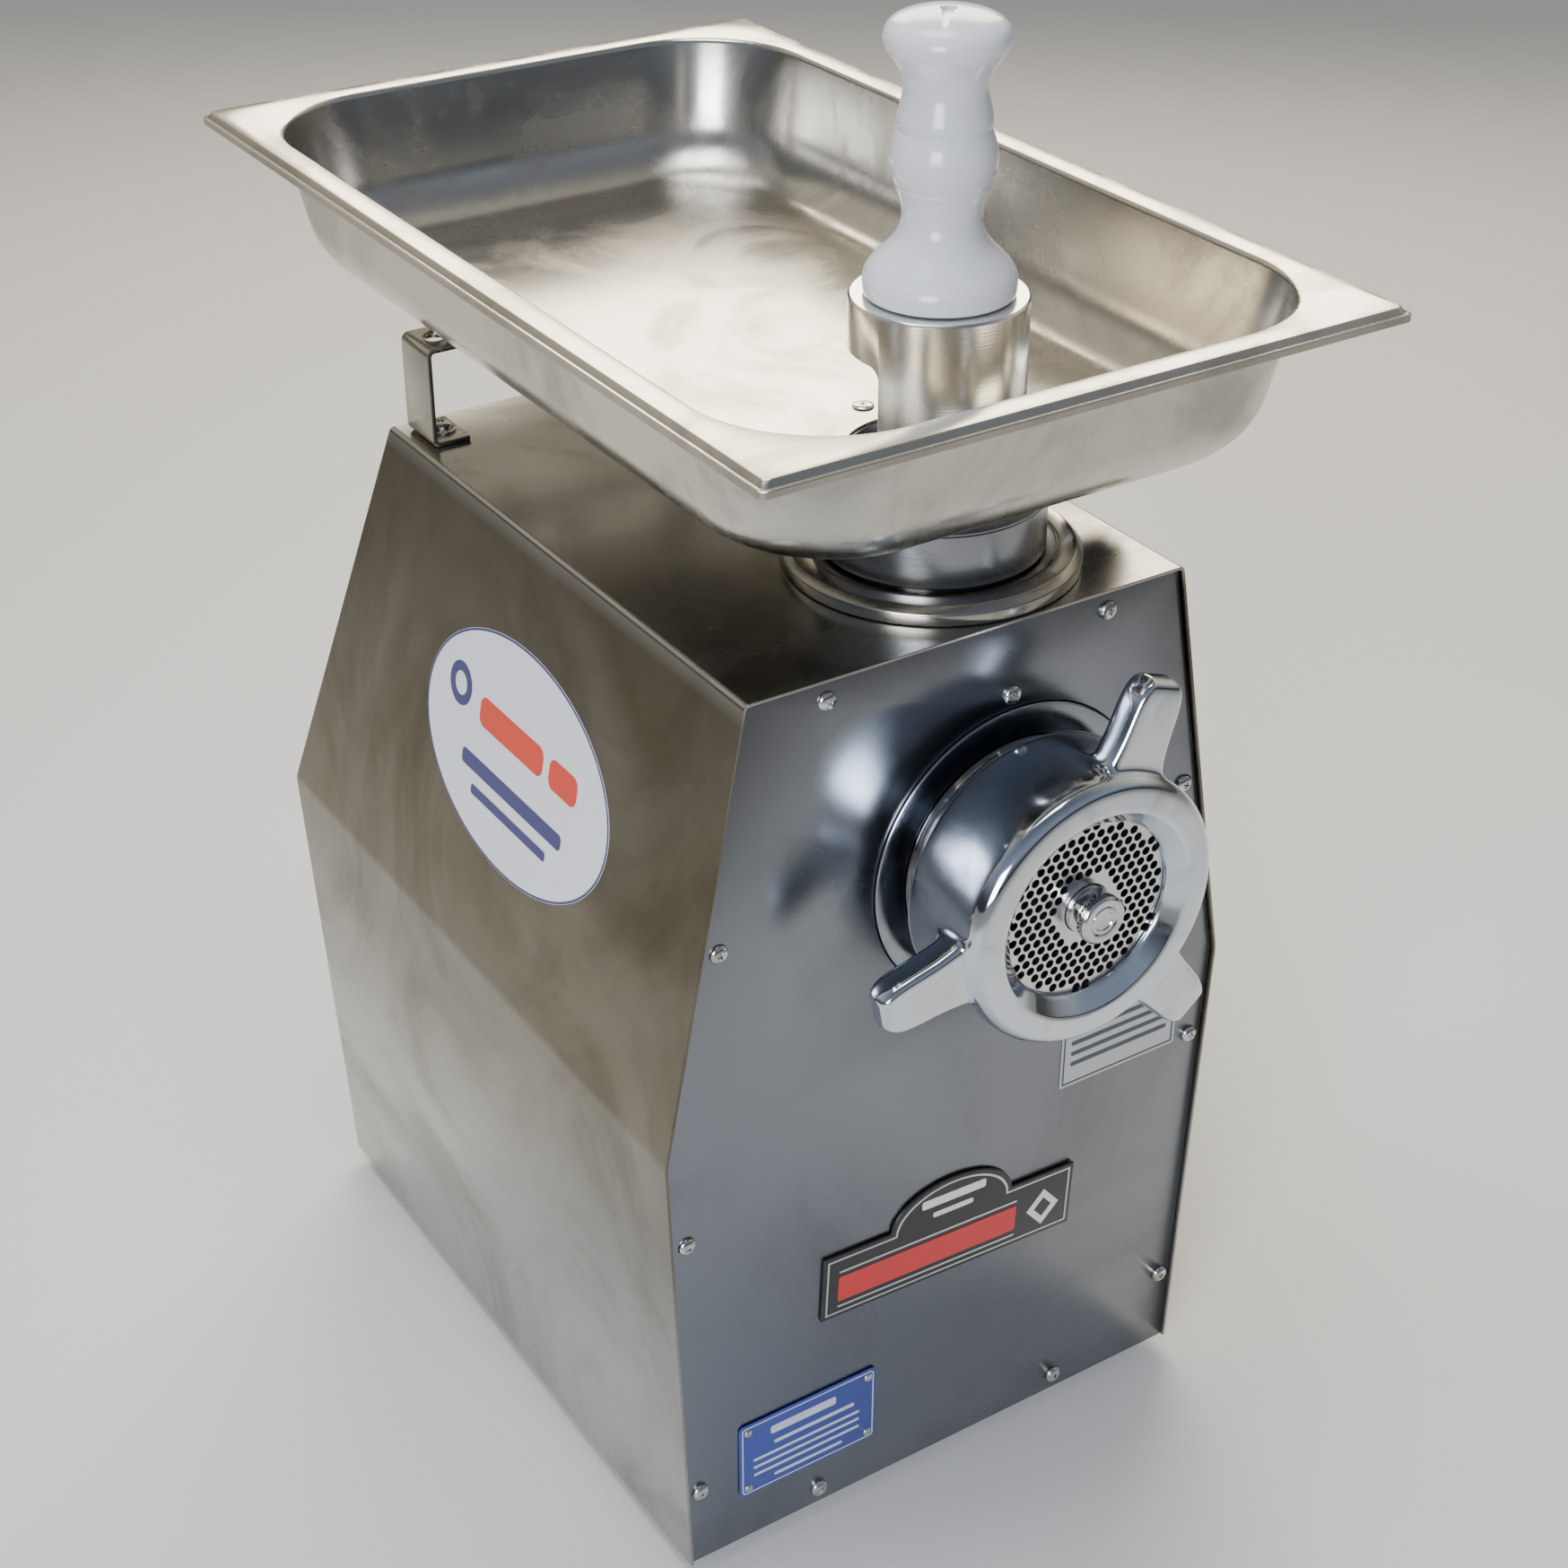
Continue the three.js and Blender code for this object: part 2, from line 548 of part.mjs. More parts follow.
const caseEnd = caseWallRear - GAP;
const outputBearing = (y0, y1) => ring(outputInner, OUTPUT_BEARING, y0, y1, HEAD_X, HEAD_Z);
const pinionBearing = (y0, y1) => ring(layInner, LAYSHAFT_BEARING, y0, y1, HEAD_X, LAYSHAFT_Z);
add('output_bearing_front', outputBearing(frontBearings, caseEnd), steel);
add('output_bearing_rear', outputBearing(rearBearings - 8, rearBearings), steel);
add('pinion_bearing_front', pinionBearing(frontBearings + 3, caseEnd), steel);
add('pinion_bearing_rear', pinionBearing(rearBearings - 8, rearBearings), steel);

const BLOCK_Y = 275;
add('rear_bearing_block', cut(
  join(
    block([HEAD_X - 50, BLOCK_Y - 12, shelfTop], [HEAD_X + 50, BLOCK_Y + 12, shelfTop + 12]),
    rod(32, BLOCK_Y - 12, BLOCK_Y + 12, HEAD_X, LAYSHAFT_Z),
  ),
  rod(layInner, BLOCK_Y - 20, BLOCK_Y + 20, HEAD_X, LAYSHAFT_Z, COARSE),
), castIron);

// --- Grinding head -------------------------------------------------------------------------------------

// Hub: a flanged sleeve bolted to the gearbox. Its flange lies flush in the front panel.
const HUB_WALL = 63;
add('head_hub', cut(
  turned([
    [BARREL_RADIUS + GAP, 0.5], [HUB_RADIUS, 0.5], [HUB_RADIUS, 7], [HUB_WALL, 7],
    [HUB_WALL, GEARBOX_FRONT - GAP], [BARREL_RADIUS + GAP, GEARBOX_FRONT - GAP],
  ], HEAD_X, HEAD_Z, FINE),
  post(THROAT_RADIUS + 1, HEAD_Z, HEAD_Z + 90, HEAD_X, THROAT_Y),
), steel);

const TAPER_REAR = 0.2;
const TAPER_FRONT = -9;
const barrelOutside = turned([
  [0, BARREL_FRONT], [THREAD_RADIUS - 1.5, BARREL_FRONT], [THREAD_RADIUS, BARREL_FRONT + 2],
  [THREAD_RADIUS, -20],
  [BARREL_RADIUS + 0.6, -16], [BARREL_RADIUS + 0.6, TAPER_FRONT], [BARREL_RADIUS + 3, TAPER_REAR],
  [BARREL_RADIUS, TAPER_REAR + 0.2], [BARREL_RADIUS, BARREL_REAR], [0, BARREL_REAR],
], HEAD_X, HEAD_Z, FINE);
const SEAT_REAR = -43.6;
const SHANK_RADIUS = 14;
add('head_barrel', cut(
  barrelOutside,
  rod(BARREL_BORE, BARREL_FRONT - 1, BARREL_REAR - 10, HEAD_X, HEAD_Z),
  rod(PLATE_RADIUS + GAP, BARREL_FRONT - 1, SEAT_REAR, HEAD_X, HEAD_Z, FINE),
  rod(SHANK_RADIUS + GAP, BARREL_REAR - 20, BARREL_REAR + 1, HEAD_X, HEAD_Z, COARSE),
  post(THROAT_RADIUS - 3, HEAD_Z + 10, HEAD_Z + 90, HEAD_X, THROAT_Y),
), polished);

// The throat tube stands in the barrel's port and carries the tray.
const PORT_Z = HEAD_Z + 47;
const PORT_SHOULDER = HEAD_Z + 57;
add('throat_tube', upright([
  [THROAT_BORE, PORT_Z], [THROAT_RADIUS - 3.4, PORT_Z], [THROAT_RADIUS - 3.4, PORT_SHOULDER],
  [THROAT_RADIUS, PORT_SHOULDER], [THROAT_RADIUS, THROAT_TOP], [THROAT_BORE, THROAT_TOP],
], HEAD_X, THROAT_Y), polished);

const collarLow = TOP_Z + GAP;
const collarHigh = TOP_Z + COLLAR_HEIGHT;
add('top_collar', upright([
  [THROAT_RADIUS + GAP, collarLow], [COLLAR_RADIUS, collarLow], [COLLAR_RADIUS, collarHigh - 2],
  [COLLAR_RADIUS - 2, collarHigh], [THROAT_RADIUS + GAP, collarHigh],
], HEAD_X, THROAT_Y), polished);

// Output shaft with a square socket for the feed screw's tang.
const TANG = 8.5;
const SHAFT_FRONT = 118;
const socketLow = [HEAD_X - TANG - GAP, SHAFT_FRONT - 5, HEAD_Z - TANG - GAP];
const socketHigh = [HEAD_X + TANG + GAP, SHAFT_FRONT + 26, HEAD_Z + TANG + GAP];
const outputSolid = turned([
  [0, BARREL_REAR + 1], [OUTPUT_RADIUS, BARREL_REAR + 1], [OUTPUT_RADIUS, rearBearings], [0, rearBearings],
], HEAD_X, HEAD_Z);
add('output_shaft', cut(outputSolid, block(socketLow, socketHigh)), steel);
const seal = ring(outputInner, OUTPUT_RADIUS + 5.7, BARREL_REAR + 2, GEARBOX_FRONT + 2, HEAD_X, HEAD_Z);
add('shaft_seal', seal, rubber);

// Feed screw: a helical flight round a core that thickens towards the outlet.
const CORE_REAR = 17;
const CORE_FRONT = 25;
const FLIGHT_TURNS = (SCREW_REAR - SCREW_FRONT - 12) / SCREW_PITCH;
const FLIGHT_STEPS = 32;
function flight() {
  const corners = [];
  for (let i = 0; i <= FLIGHT_STEPS; i++) {
    const share = i / FLIGHT_STEPS;
    const angle = share * FLIGHT_TURNS * 2 * Math.PI;
    const y = SCREW_FRONT + 4 + share * FLIGHT_TURNS * SCREW_PITCH;
    for (const [radius, shift] of [[12, -3.5], [SCREW_RADIUS, -2], [SCREW_RADIUS, 2], [12, 3.5]]) {
      corners.push(HEAD_X + radius * Math.cos(angle), y + shift, HEAD_Z + radius * Math.sin(angle));
    }
  }
  const faces = [];
  for (let i = 0; i < FLIGHT_STEPS; i++) {
    for (let j = 0; j < 4; j++) {
      const a = i * 4 + j;
      const b = i * 4 + (j + 1) % 4;
      faces.push(a, b, b + 4, a, b + 4, a + 4);
    }
  }
  const last = FLIGHT_STEPS * 4;
  faces.push(0, 2, 1, 0, 3, 2, last, last + 1, last + 2, last, last + 2, last + 3);
  const geometry = new THREE.BufferGeometry();
  geometry.setAttribute('position', new THREE.Float32BufferAttribute(corners, 3));
  geometry.setIndex(faces);
  return geometry;
}
const PIN_GROOVE = 8.5;
const KNIFE_REAR = SCREW_FRONT - GAP;
const KNIFE_FRONT = PLATE_FRONT + PLATE_THICKNESS + GAP;
const KNIFE_SQUARE = 10.5;
const plateRear = PLATE_FRONT + PLATE_THICKNESS;
const core = turned([
  [0, PIN_FRONT], [PIN_RADIUS - 1, PIN_FRONT], [PIN_RADIUS, PIN_FRONT + 1], [PIN_RADIUS, PIN_FRONT + 5],
  [PIN_GROOVE, PIN_FRONT + 6], [PIN_GROOVE, PIN_FRONT + 9], [PIN_RADIUS, PIN_FRONT + 10],
  [PIN_RADIUS, plateRear], [9, plateRear], [9, SCREW_FRONT], [CORE_FRONT, SCREW_FRONT],
  [CORE_REAR, SCREW_REAR], [SHANK_RADIUS, SCREW_REAR], [SHANK_RADIUS, BARREL_REAR + 0.5],
  [0, BARREL_REAR + 0.5],
], HEAD_X, HEAD_Z, COARSE);
const knifeSquare = block(
  [HEAD_X - KNIFE_SQUARE, KNIFE_FRONT, HEAD_Z - KNIFE_SQUARE],
  [HEAD_X + KNIFE_SQUARE, SCREW_FRONT + 1, HEAD_Z + KNIFE_SQUARE],
);
const tang = block(
  [HEAD_X - TANG, SCREW_REAR, HEAD_Z - TANG],
  [HEAD_X + TANG, SHAFT_FRONT + 24, HEAD_Z + TANG],
);
const screwEnvelope = rod(SCREW_RADIUS + 5, SCREW_FRONT, SCREW_REAR, HEAD_X, HEAD_Z, COARSE);
add('feed_screw', join(core, common(flight(), screwEnvelope), knifeSquare, tang), polished);

const KNIFE_ARMS = 4;
const KNIFE_HUB = 18;
const arms = [];
for (let i = 0; i < KNIFE_ARMS; i++) {
  const outline = [[0, -7], [SCREW_RADIUS - 1, -9], [SCREW_RADIUS - 1, 1], [0, 9]];
  const arm = prismY(outline, KNIFE_FRONT, KNIFE_REAR);
  arm.rotateY(i / KNIFE_ARMS * 2 * Math.PI);
  arm.translate(HEAD_X, 0, HEAD_Z);
  arms.push(arm);
}
const knifeHole = block(
  [HEAD_X - KNIFE_SQUARE - GAP, KNIFE_FRONT - 1, HEAD_Z - KNIFE_SQUARE - GAP],
  [HEAD_X + KNIFE_SQUARE + GAP, KNIFE_REAR + 1, HEAD_Z + KNIFE_SQUARE + GAP],
);
const knifeHub = rod(KNIFE_HUB, KNIFE_FRONT, KNIFE_REAR, HEAD_X, HEAD_Z, COARSE);
add('knife', cut(join(knifeHub, ...arms), knifeHole), steel);

const plateRing = ring(PIN_RADIUS + GAP, PLATE_RADIUS, PLATE_FRONT, plateRear, HEAD_X, HEAD_Z, FINE);
add('cutting_plate', plateRing, steel);

const NUT_BORE = THREAD_RADIUS + 0.6;
const OPENING = 43;
const OPENING_FRONT = 50;
const nutRing = turned([
  [NUT_BORE, NUT_REAR], [NUT_RADIUS - 5, NUT_REAR], [NUT_RADIUS, NUT_REAR + 8], [NUT_RADIUS, NUT_FRONT + 7],
  [NUT_RADIUS - 6, NUT_FRONT], [OPENING_FRONT, NUT_FRONT], [OPENING, PLATE_FRONT - 2],
  [OPENING, PLATE_FRONT - GAP], [NUT_BORE, PLATE_FRONT - GAP],
], HEAD_X, HEAD_Z, FINE);
const LUG_FRONT = -56;
const LUG_REAR = -38;
const LUG_ROOT_HALF = 18;
const LUG_TIP_HALF = 12;
const LUG_FIRST = 70 * Math.PI / 180;
const lugs = [];
for (let i = 0; i < LUG_COUNT; i++) {
  const outline = [
    [60, -LUG_ROOT_HALF], [LUG_REACH - 6, -LUG_TIP_HALF], [LUG_REACH, -LUG_TIP_HALF + 6],
    [LUG_REACH, LUG_TIP_HALF - 6], [LUG_REACH - 6, LUG_TIP_HALF], [60, LUG_ROOT_HALF],
  ];
  const lug = prismY(outline, LUG_FRONT, LUG_REAR);
  lug.rotateY(-(LUG_FIRST + i / LUG_COUNT * 2 * Math.PI));
  lug.translate(HEAD_X, 0, HEAD_Z);
  lugs.push(lug);
}
add('ring_nut', join(nutRing, ...lugs), polished);

// --- Tray, guard and pusher ----------------------------------------------------------------------------

// A ring of points round a rectangle with round corners.
const CORNER_STEPS = 5;
function roundedRing(halfWidth, halfLength, radius, z) {
  const points = [];
  for (let corner = 0; corner < 4; corner++) {
    const sx = corner === 0 || corner === 3 ? 1 : -1;
    const sy = corner < 2 ? 1 : -1;
    for (let i = 0; i <= CORNER_STEPS; i++) {
      const angle = (corner + i / CORNER_STEPS) * Math.PI / 2;
      const x = sx * (halfWidth - radius) + radius * Math.cos(angle);
      const y = sy * (halfLength - radius) + radius * Math.sin(angle);
      points.push([HEAD_X + x, PAN_Y + y, z]);
    }
  }
  return points;
}
// A closed skin over a stack of rings, capped at both ends.
function lofted(rings) {
  const count = rings[0].length;
  const corners = rings.flat(2);
  const faces = [];
  for (let k = 0; k + 1 < rings.length; k++) {
    for (let i = 0; i < count; i++) {
      const a = k * count + i;
      const b = k * count + (i + 1) % count;
      faces.push(a, b, b + count, a, b + count, a + count);
    }
  }
  const last = (rings.length - 1) * count;
  for (let i = 1; i + 1 < count; i++) {
    faces.push(0, i + 1, i, last, last + i, last + i + 1);
  }
  const geometry = new THREE.BufferGeometry();
  geometry.setAttribute('position', new THREE.Float32BufferAttribute(corners, 3));
  geometry.setIndex(faces);
  return geometry;
}
const TRAY_SCREWS = 3;
const TRAY_SCREW_CIRCLE = 55;
const SCREW_SHANK = 2.5;
const traySpots = [];
for (let i = 0; i < TRAY_SCREWS; i++) {
  const angle = Math.PI / 2 + i / TRAY_SCREWS * 2 * Math.PI;
  const [aside, back] = [TRAY_SCREW_CIRCLE * Math.cos(angle), TRAY_SCREW_CIRCLE * Math.sin(angle)];
  traySpots.push([HEAD_X + aside, THROAT_Y + back]);
}
const RIM_Z = PAN_BOTTOM + PAN_DEPTH;
const RIM_STEP = 4;
const RIM_FLAT = 15;
const MOUTH_CORNER = 62;
const FLOOR_CORNER = 50;
const WALL_DRAFT = 14;
const FLOOR_ROUND = 16;
const panHalfX = PAN_WIDTH / 2;
const panHalfY = PAN_LENGTH / 2;
const mouthX = panHalfX - RIM_FLAT;
const mouthY = panHalfY - RIM_FLAT;
const mouthRing = (inset, radius, z) => roundedRing(mouthX - inset, mouthY - inset, radius, z);
// The bowl, from the floor up: its outside is the inside moved out by the sheet's thickness.
const bowl = (grow, bottom, top) => lofted([
  mouthRing(WALL_DRAFT + FLOOR_ROUND - grow, FLOOR_CORNER - FLOOR_ROUND, bottom),
  mouthRing(WALL_DRAFT + 5 - grow, FLOOR_CORNER - 6, bottom + 5),
  mouthRing(WALL_DRAFT - grow, FLOOR_CORNER, bottom + FLOOR_ROUND),
  mouthRing(-grow, MOUTH_CORNER, top),
]);
const rimPlate = lofted([
  roundedRing(panHalfX, panHalfY, 3, RIM_Z - RIM_STEP - 2),
  roundedRing(panHalfX, panHalfY, 3, RIM_Z - RIM_STEP),
  roundedRing(panHalfX - 4, panHalfY - 4, 4, RIM_Z),
  roundedRing(mouthX - 1, mouthY - 1, MOUTH_CORNER, RIM_Z),
]);
const rimHollow = lofted([
  roundedRing(panHalfX - PAN_WALL, panHalfY - PAN_WALL, 2.4, RIM_Z - RIM_STEP - 3),
  roundedRing(panHalfX - PAN_WALL, panHalfY - PAN_WALL, 2.4, RIM_Z - RIM_STEP - 0.6),
  roundedRing(panHalfX - 5, panHalfY - 5, 3.4, RIM_Z - PAN_WALL - 0.4),
]);
add('tray_pan', cut(
  join(cut(rimPlate, rimHollow), bowl(PAN_WALL, PAN_BOTTOM, RIM_Z - 0.5)),
  bowl(0, PAN_BOTTOM + PAN_WALL, RIM_Z + 2),
  post(PAN_HOLE, PAN_BOTTOM - 5, PAN_BOTTOM + 10, HEAD_X, THROAT_Y),
  ...traySpots.map(([x, y]) => post(SCREW_SHANK + GAP, PAN_BOTTOM - 5, PAN_BOTTOM + 10, x, y, COARSE)),
), stainless);

// Cast sleeve under the tray: it slips over the throat tube and is locked by a thumb screw.
const sleeveLow = collarHigh + GAP;
const sleeveHigh = PAN_BOTTOM - GAP;
const FLANGE_RADIUS = 65;
const GUARD_BORE = GUARD_RADIUS + GAP;
const CLAMP_Z = 505;
const BOSS_RADIUS = 9.5;
const BOSS_END = HEAD_X + 64;
function barX(radius, x0, x1, z, segments) {
  const geometry = upright([[0, x0], [radius, x0], [radius, x1], [0, x1]], 0, 0, segments);
  geometry.rotateY(Math.PI / 2);
  geometry.translate(0, THROAT_Y, z);
  return geometry;
}
add('tray_sleeve', cut(
  join(
    upright([
      [GUARD_BORE, THROAT_TOP + GAP], [THROAT_RADIUS + GAP, THROAT_TOP + GAP],
      [THROAT_RADIUS + GAP, sleeveLow], [SLEEVE_RADIUS, sleeveLow], [SLEEVE_RADIUS, 515],
      [FLANGE_RADIUS, sleeveHigh - 3], [FLANGE_RADIUS, sleeveHigh], [GUARD_BORE, sleeveHigh],
    ], HEAD_X, THROAT_Y),
    barX(BOSS_RADIUS, HEAD_X + 47, BOSS_END, CLAMP_Z, COARSE),
  ),
  barX(4 + GAP, HEAD_X + 30, BOSS_END + 5, CLAMP_Z, COARSE),
  ...traySpots.map(([x, y]) => post(SCREW_SHANK + GAP, sleeveHigh - 12, sleeveHigh + 1, x, y, COARSE)),
), aluminium);

const screwTop = PAN_BOTTOM + PAN_WALL + GAP;
traySpots.forEach(([x, y], i) => {
  const profile = [
    [0, sleeveHigh - 10], [SCREW_SHANK, sleeveHigh - 10], [SCREW_SHANK, screwTop], [5, screwTop],
    [4.4, screwTop + 1], [0, screwTop + 1.4],
  ];
  add(`tray_screw_${i + 1}`, upright(profile, x, y, COARSE), steel);
});

// Hand guard: a ring on a half tube that is open to the rear, where the meat is pushed in.
const GUARD_RING_BORE = PUSHER_RADIUS + 0.7;
const GUARD_WALL = 3.5;
const GUARD_EDGE = THROAT_Y - 10;
const guardLow = THROAT_TOP + GAP;
const ringLow = GUARD_TOP - GUARD_RING;
add('throat_guard', cut(
  upright([
    [GUARD_RADIUS - GUARD_WALL, guardLow], [GUARD_RADIUS, guardLow], [GUARD_RADIUS, GUARD_TOP - 1],
    [GUARD_RADIUS - 1, GUARD_TOP], [GUARD_RING_BORE, GUARD_TOP], [GUARD_RING_BORE, ringLow + 4],
    [GUARD_RADIUS - GUARD_WALL, ringLow + 4],
  ], HEAD_X, THROAT_Y),
  block([HEAD_X - 60, GUARD_EDGE, guardLow - 5], [HEAD_X + 60, THROAT_Y + 60, ringLow]),
), aluminium);

const flange = GUARD_TOP + GAP;
add('pusher', upright([
  [0, PUSHER_BOTTOM], [PUSHER_RADIUS - 3, PUSHER_BOTTOM], [PUSHER_RADIUS, PUSHER_BOTTOM + 3],
  [PUSHER_RADIUS, flange],
  [31.5, flange], [33, flange + 3], [33, 608], [29.5, 614], [21, 621], [16.8, 630], [17.6, 638], [20, 646],
  [22.2, 653], [22.4, 660], [21.2, 667], [19.2, 671], [19.9, 675], [17.4, 685], [19, 693], [24.5, 700],
  [26.5, 708], [25.5, 714], [20, 718], [0, PUSHER_TOP],
], HEAD_X, THROAT_Y, COARSE), whitePlastic);

// Thumb screw: a lobed knob on a stud that bears on the throat tube.
const KNOB_NEAR = HEAD_X + 88;
const KNOB_THICK = 20;
const KNOB_RADIUS = 18;
const KNOB_LOBES = 6;
const knobOutline = [];
const KNOB_STEPS = KNOB_LOBES * 5;
for (let i = 0; i < KNOB_STEPS; i++) {
  const angle = i / KNOB_STEPS * 2 * Math.PI;
  const radius = KNOB_RADIUS - 1.8 + 1.8 * Math.cos(KNOB_LOBES * angle);
  knobOutline.push([radius * Math.cos(angle), radius * Math.sin(angle)]);
}
const knobHead = prismX(knobOutline, KNOB_NEAR, KNOB_NEAR + KNOB_THICK);
knobHead.translate(0, THROAT_Y, CLAMP_Z);
add('clamp_knob', cut(
  join(knobHead, barX(10, KNOB_NEAR - 8, KNOB_NEAR + 2, CLAMP_Z, COARSE)),
  barX(4 + GAP, KNOB_NEAR - 20, KNOB_NEAR + 12, CLAMP_Z, COARSE),
), blackPlastic);
add('clamp_stud', barX(4, HEAD_X + THROAT_RADIUS + GAP, KNOB_NEAR + 11.5, CLAMP_Z, COARSE), steel);

// Strap bridge that carries the rear of the tray.
const STRAP = 2.5;
const bridgeLow = TOP_Z + GAP;
const bridgeHigh = PAN_BOTTOM - GAP;
const BRIDGE_FOOT = 20;
const bridgeRear = BRIDGE_Y + BRIDGE_WIDTH;
const bridgeBlocks = [];
for (const side of [-1, 1]) {
  const outer = side * BRIDGE_HALF;
  const span = (a, b) => [Math.min(a, b), Math.max(a, b)];
  const [u0, u1] = span(outer, outer - side * STRAP);
  const [f0, f1] = span(outer, outer - side * BRIDGE_FOOT);
  bridgeBlocks.push(block([u0, BRIDGE_Y, bridgeLow], [u1, bridgeRear, bridgeHigh]));
  bridgeBlocks.push(block([f0, BRIDGE_Y, bridgeLow], [f1, bridgeRear, bridgeLow + STRAP]));
}
add('tray_bridge', cut(
  join(
    block([-BRIDGE_HALF, BRIDGE_Y, bridgeHigh - STRAP], [BRIDGE_HALF, bridgeRear, bridgeHigh]),
    ...bridgeBlocks,
  ),
  post(5, bridgeHigh - 10, bridgeHigh + 5, -BOLT_X, BRIDGE_MIDDLE, COARSE),
  post(5, bridgeHigh - 10, bridgeHigh + 5, BOLT_X, BRIDGE_MIDDLE, COARSE),
  post(BOLT_RADIUS + GAP, bridgeLow - 5, bridgeLow + 10, -BOLT_X, BRIDGE_MIDDLE, COARSE),
  post(BOLT_RADIUS + GAP, bridgeLow - 5, bridgeLow + 10, BOLT_X, BRIDGE_MIDDLE, COARSE),
), stainless);
const boltSeat = bridgeLow + STRAP + GAP;
for (const [side, x] of [['left', -BOLT_X], ['right', BOLT_X]]) {
  const head = post(6.8, boltSeat, boltSeat + 4.5, x, BRIDGE_MIDDLE, 6);
  const shank = post(BOLT_RADIUS, TOP_Z - 16, boltSeat + 1, x, BRIDGE_MIDDLE, COARSE);
  add(`bridge_bolt_${side}`, join(head, shank), steel);
}

// --- Controls and plates -------------------------------------------------------------------------------

add('switch_body', onSwitchAxis(cut(
  join(
    block([-42, -22, -22], [-4, 22, 22]),
    dial([[0, -5], [11, -5], [11, GAP], [24, GAP], [24, 2.5], [0, 2.5]], MEDIUM),
  ),
  dial([[0, -20], [3 + GAP, -20], [3 + GAP, 5], [0, 5]], COARSE),
)), blackPlastic);
const wing = block([8, -4, -17], [22, 4, 17]);
add('switch_knob', onSwitchAxis(join(
  dial([[0, -19], [3, -19], [3, 3], [19, 3], [19, 8], [16, 10], [0, 10]], MEDIUM),
  wing,
)), blackPlastic);

add('run_capacitor', rod(20, 300, 368, GLAND_X, 26, COARSE), blackPlastic);
add('contactor_box', block([-125, 60, FLOOR_THICKNESS + GAP], [-80, 130, 90]), blackPlastic);

const BADGE_HALF = 75;
const BADGE_BAND = 19;
const HUMP_HALF = 36;
const HUMP_RISE = 22;
const HUMP_STEPS = 8;
const badgeOutline = [
  [-BADGE_HALF, -BADGE_BAND], [BADGE_HALF, -BADGE_BAND], [BADGE_HALF, BADGE_BAND], [HUMP_HALF, BADGE_BAND],
];
for (let i = 1; i < HUMP_STEPS; i++) {
  const angle = i / HUMP_STEPS * Math.PI;
  badgeOutline.push([HUMP_HALF * Math.cos(angle), BADGE_BAND + HUMP_RISE * Math.sin(angle)]);
}
badgeOutline.push([-HUMP_HALF, BADGE_BAND], [-BADGE_HALF, BADGE_BAND]);
const BADGE_TILT = 2.5 * Math.PI / 180;
const badge = prismY(badgeOutline, PANEL_INSET - 2, PANEL_INSET - GAP);
badge.rotateY(BADGE_TILT);
badge.translate(1, 0, 138);
add('name_badge', badge, blackPlastic);
add('data_plate', block([-121, PANEL_INSET - 1.1, 29], [-41, PANEL_INSET - GAP, 76]), bluePlate);

export default grinder;
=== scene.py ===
import json
import math

import bmesh
import bpy
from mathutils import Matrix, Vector

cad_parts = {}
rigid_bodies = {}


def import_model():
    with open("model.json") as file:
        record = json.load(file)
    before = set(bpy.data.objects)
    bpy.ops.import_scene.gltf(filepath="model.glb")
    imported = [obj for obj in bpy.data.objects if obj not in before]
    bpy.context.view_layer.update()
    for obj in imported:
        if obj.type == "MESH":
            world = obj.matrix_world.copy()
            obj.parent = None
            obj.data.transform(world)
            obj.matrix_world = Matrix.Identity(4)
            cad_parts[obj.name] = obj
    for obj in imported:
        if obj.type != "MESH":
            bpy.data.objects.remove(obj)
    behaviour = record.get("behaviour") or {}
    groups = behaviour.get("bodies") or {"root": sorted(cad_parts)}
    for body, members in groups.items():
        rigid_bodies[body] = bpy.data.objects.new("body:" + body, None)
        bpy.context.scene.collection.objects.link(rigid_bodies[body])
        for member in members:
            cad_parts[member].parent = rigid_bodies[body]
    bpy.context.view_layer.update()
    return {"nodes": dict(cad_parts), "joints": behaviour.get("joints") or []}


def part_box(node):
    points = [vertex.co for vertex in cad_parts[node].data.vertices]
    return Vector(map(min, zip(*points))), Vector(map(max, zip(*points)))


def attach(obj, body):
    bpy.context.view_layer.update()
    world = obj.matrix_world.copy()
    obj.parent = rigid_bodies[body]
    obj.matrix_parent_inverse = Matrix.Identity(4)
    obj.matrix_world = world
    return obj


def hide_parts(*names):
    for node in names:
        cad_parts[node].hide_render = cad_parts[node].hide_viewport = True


for leftover in list(bpy.data.objects):
    bpy.data.objects.remove(leftover)

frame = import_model()

# --- Camera ---------------------------------------------------------------------------------------------
# It stands in front of the machine and to its left, above the tray, and looks down at the whole of it.

camera_data = bpy.data.cameras.new("camera")
camera_data.sensor_width = 36
camera_data.lens = 60.34
camera = bpy.data.objects.new("camera", camera_data)
camera.location = (-0.61347, -0.98721, 1.01076)
camera.rotation_euler = (math.radians(58.43), 0, math.radians(-32.796))
bpy.context.scene.collection.objects.link(camera)
bpy.context.scene.camera = camera

# --- Feet -----------------------------------------------------------------------------------------------
# Four black rubber feet, moulded with a ring that grips the worktop, under a plain steel base plate.
# Each foot is held by a screw through its middle.

MM = 0.001


def apply_place():
    """Moves the selected piece's place, turn and scale into its mesh."""
    bpy.ops.object.transform_apply(location=True, rotation=True, scale=True)


def finish_edit():
    """In edit mode, turns every face outwards, then goes back to object mode."""
    bpy.ops.mesh.select_all(action="SELECT")
    bpy.ops.mesh.normals_make_consistent(inside=False)
    bpy.ops.object.mode_set(mode="OBJECT")


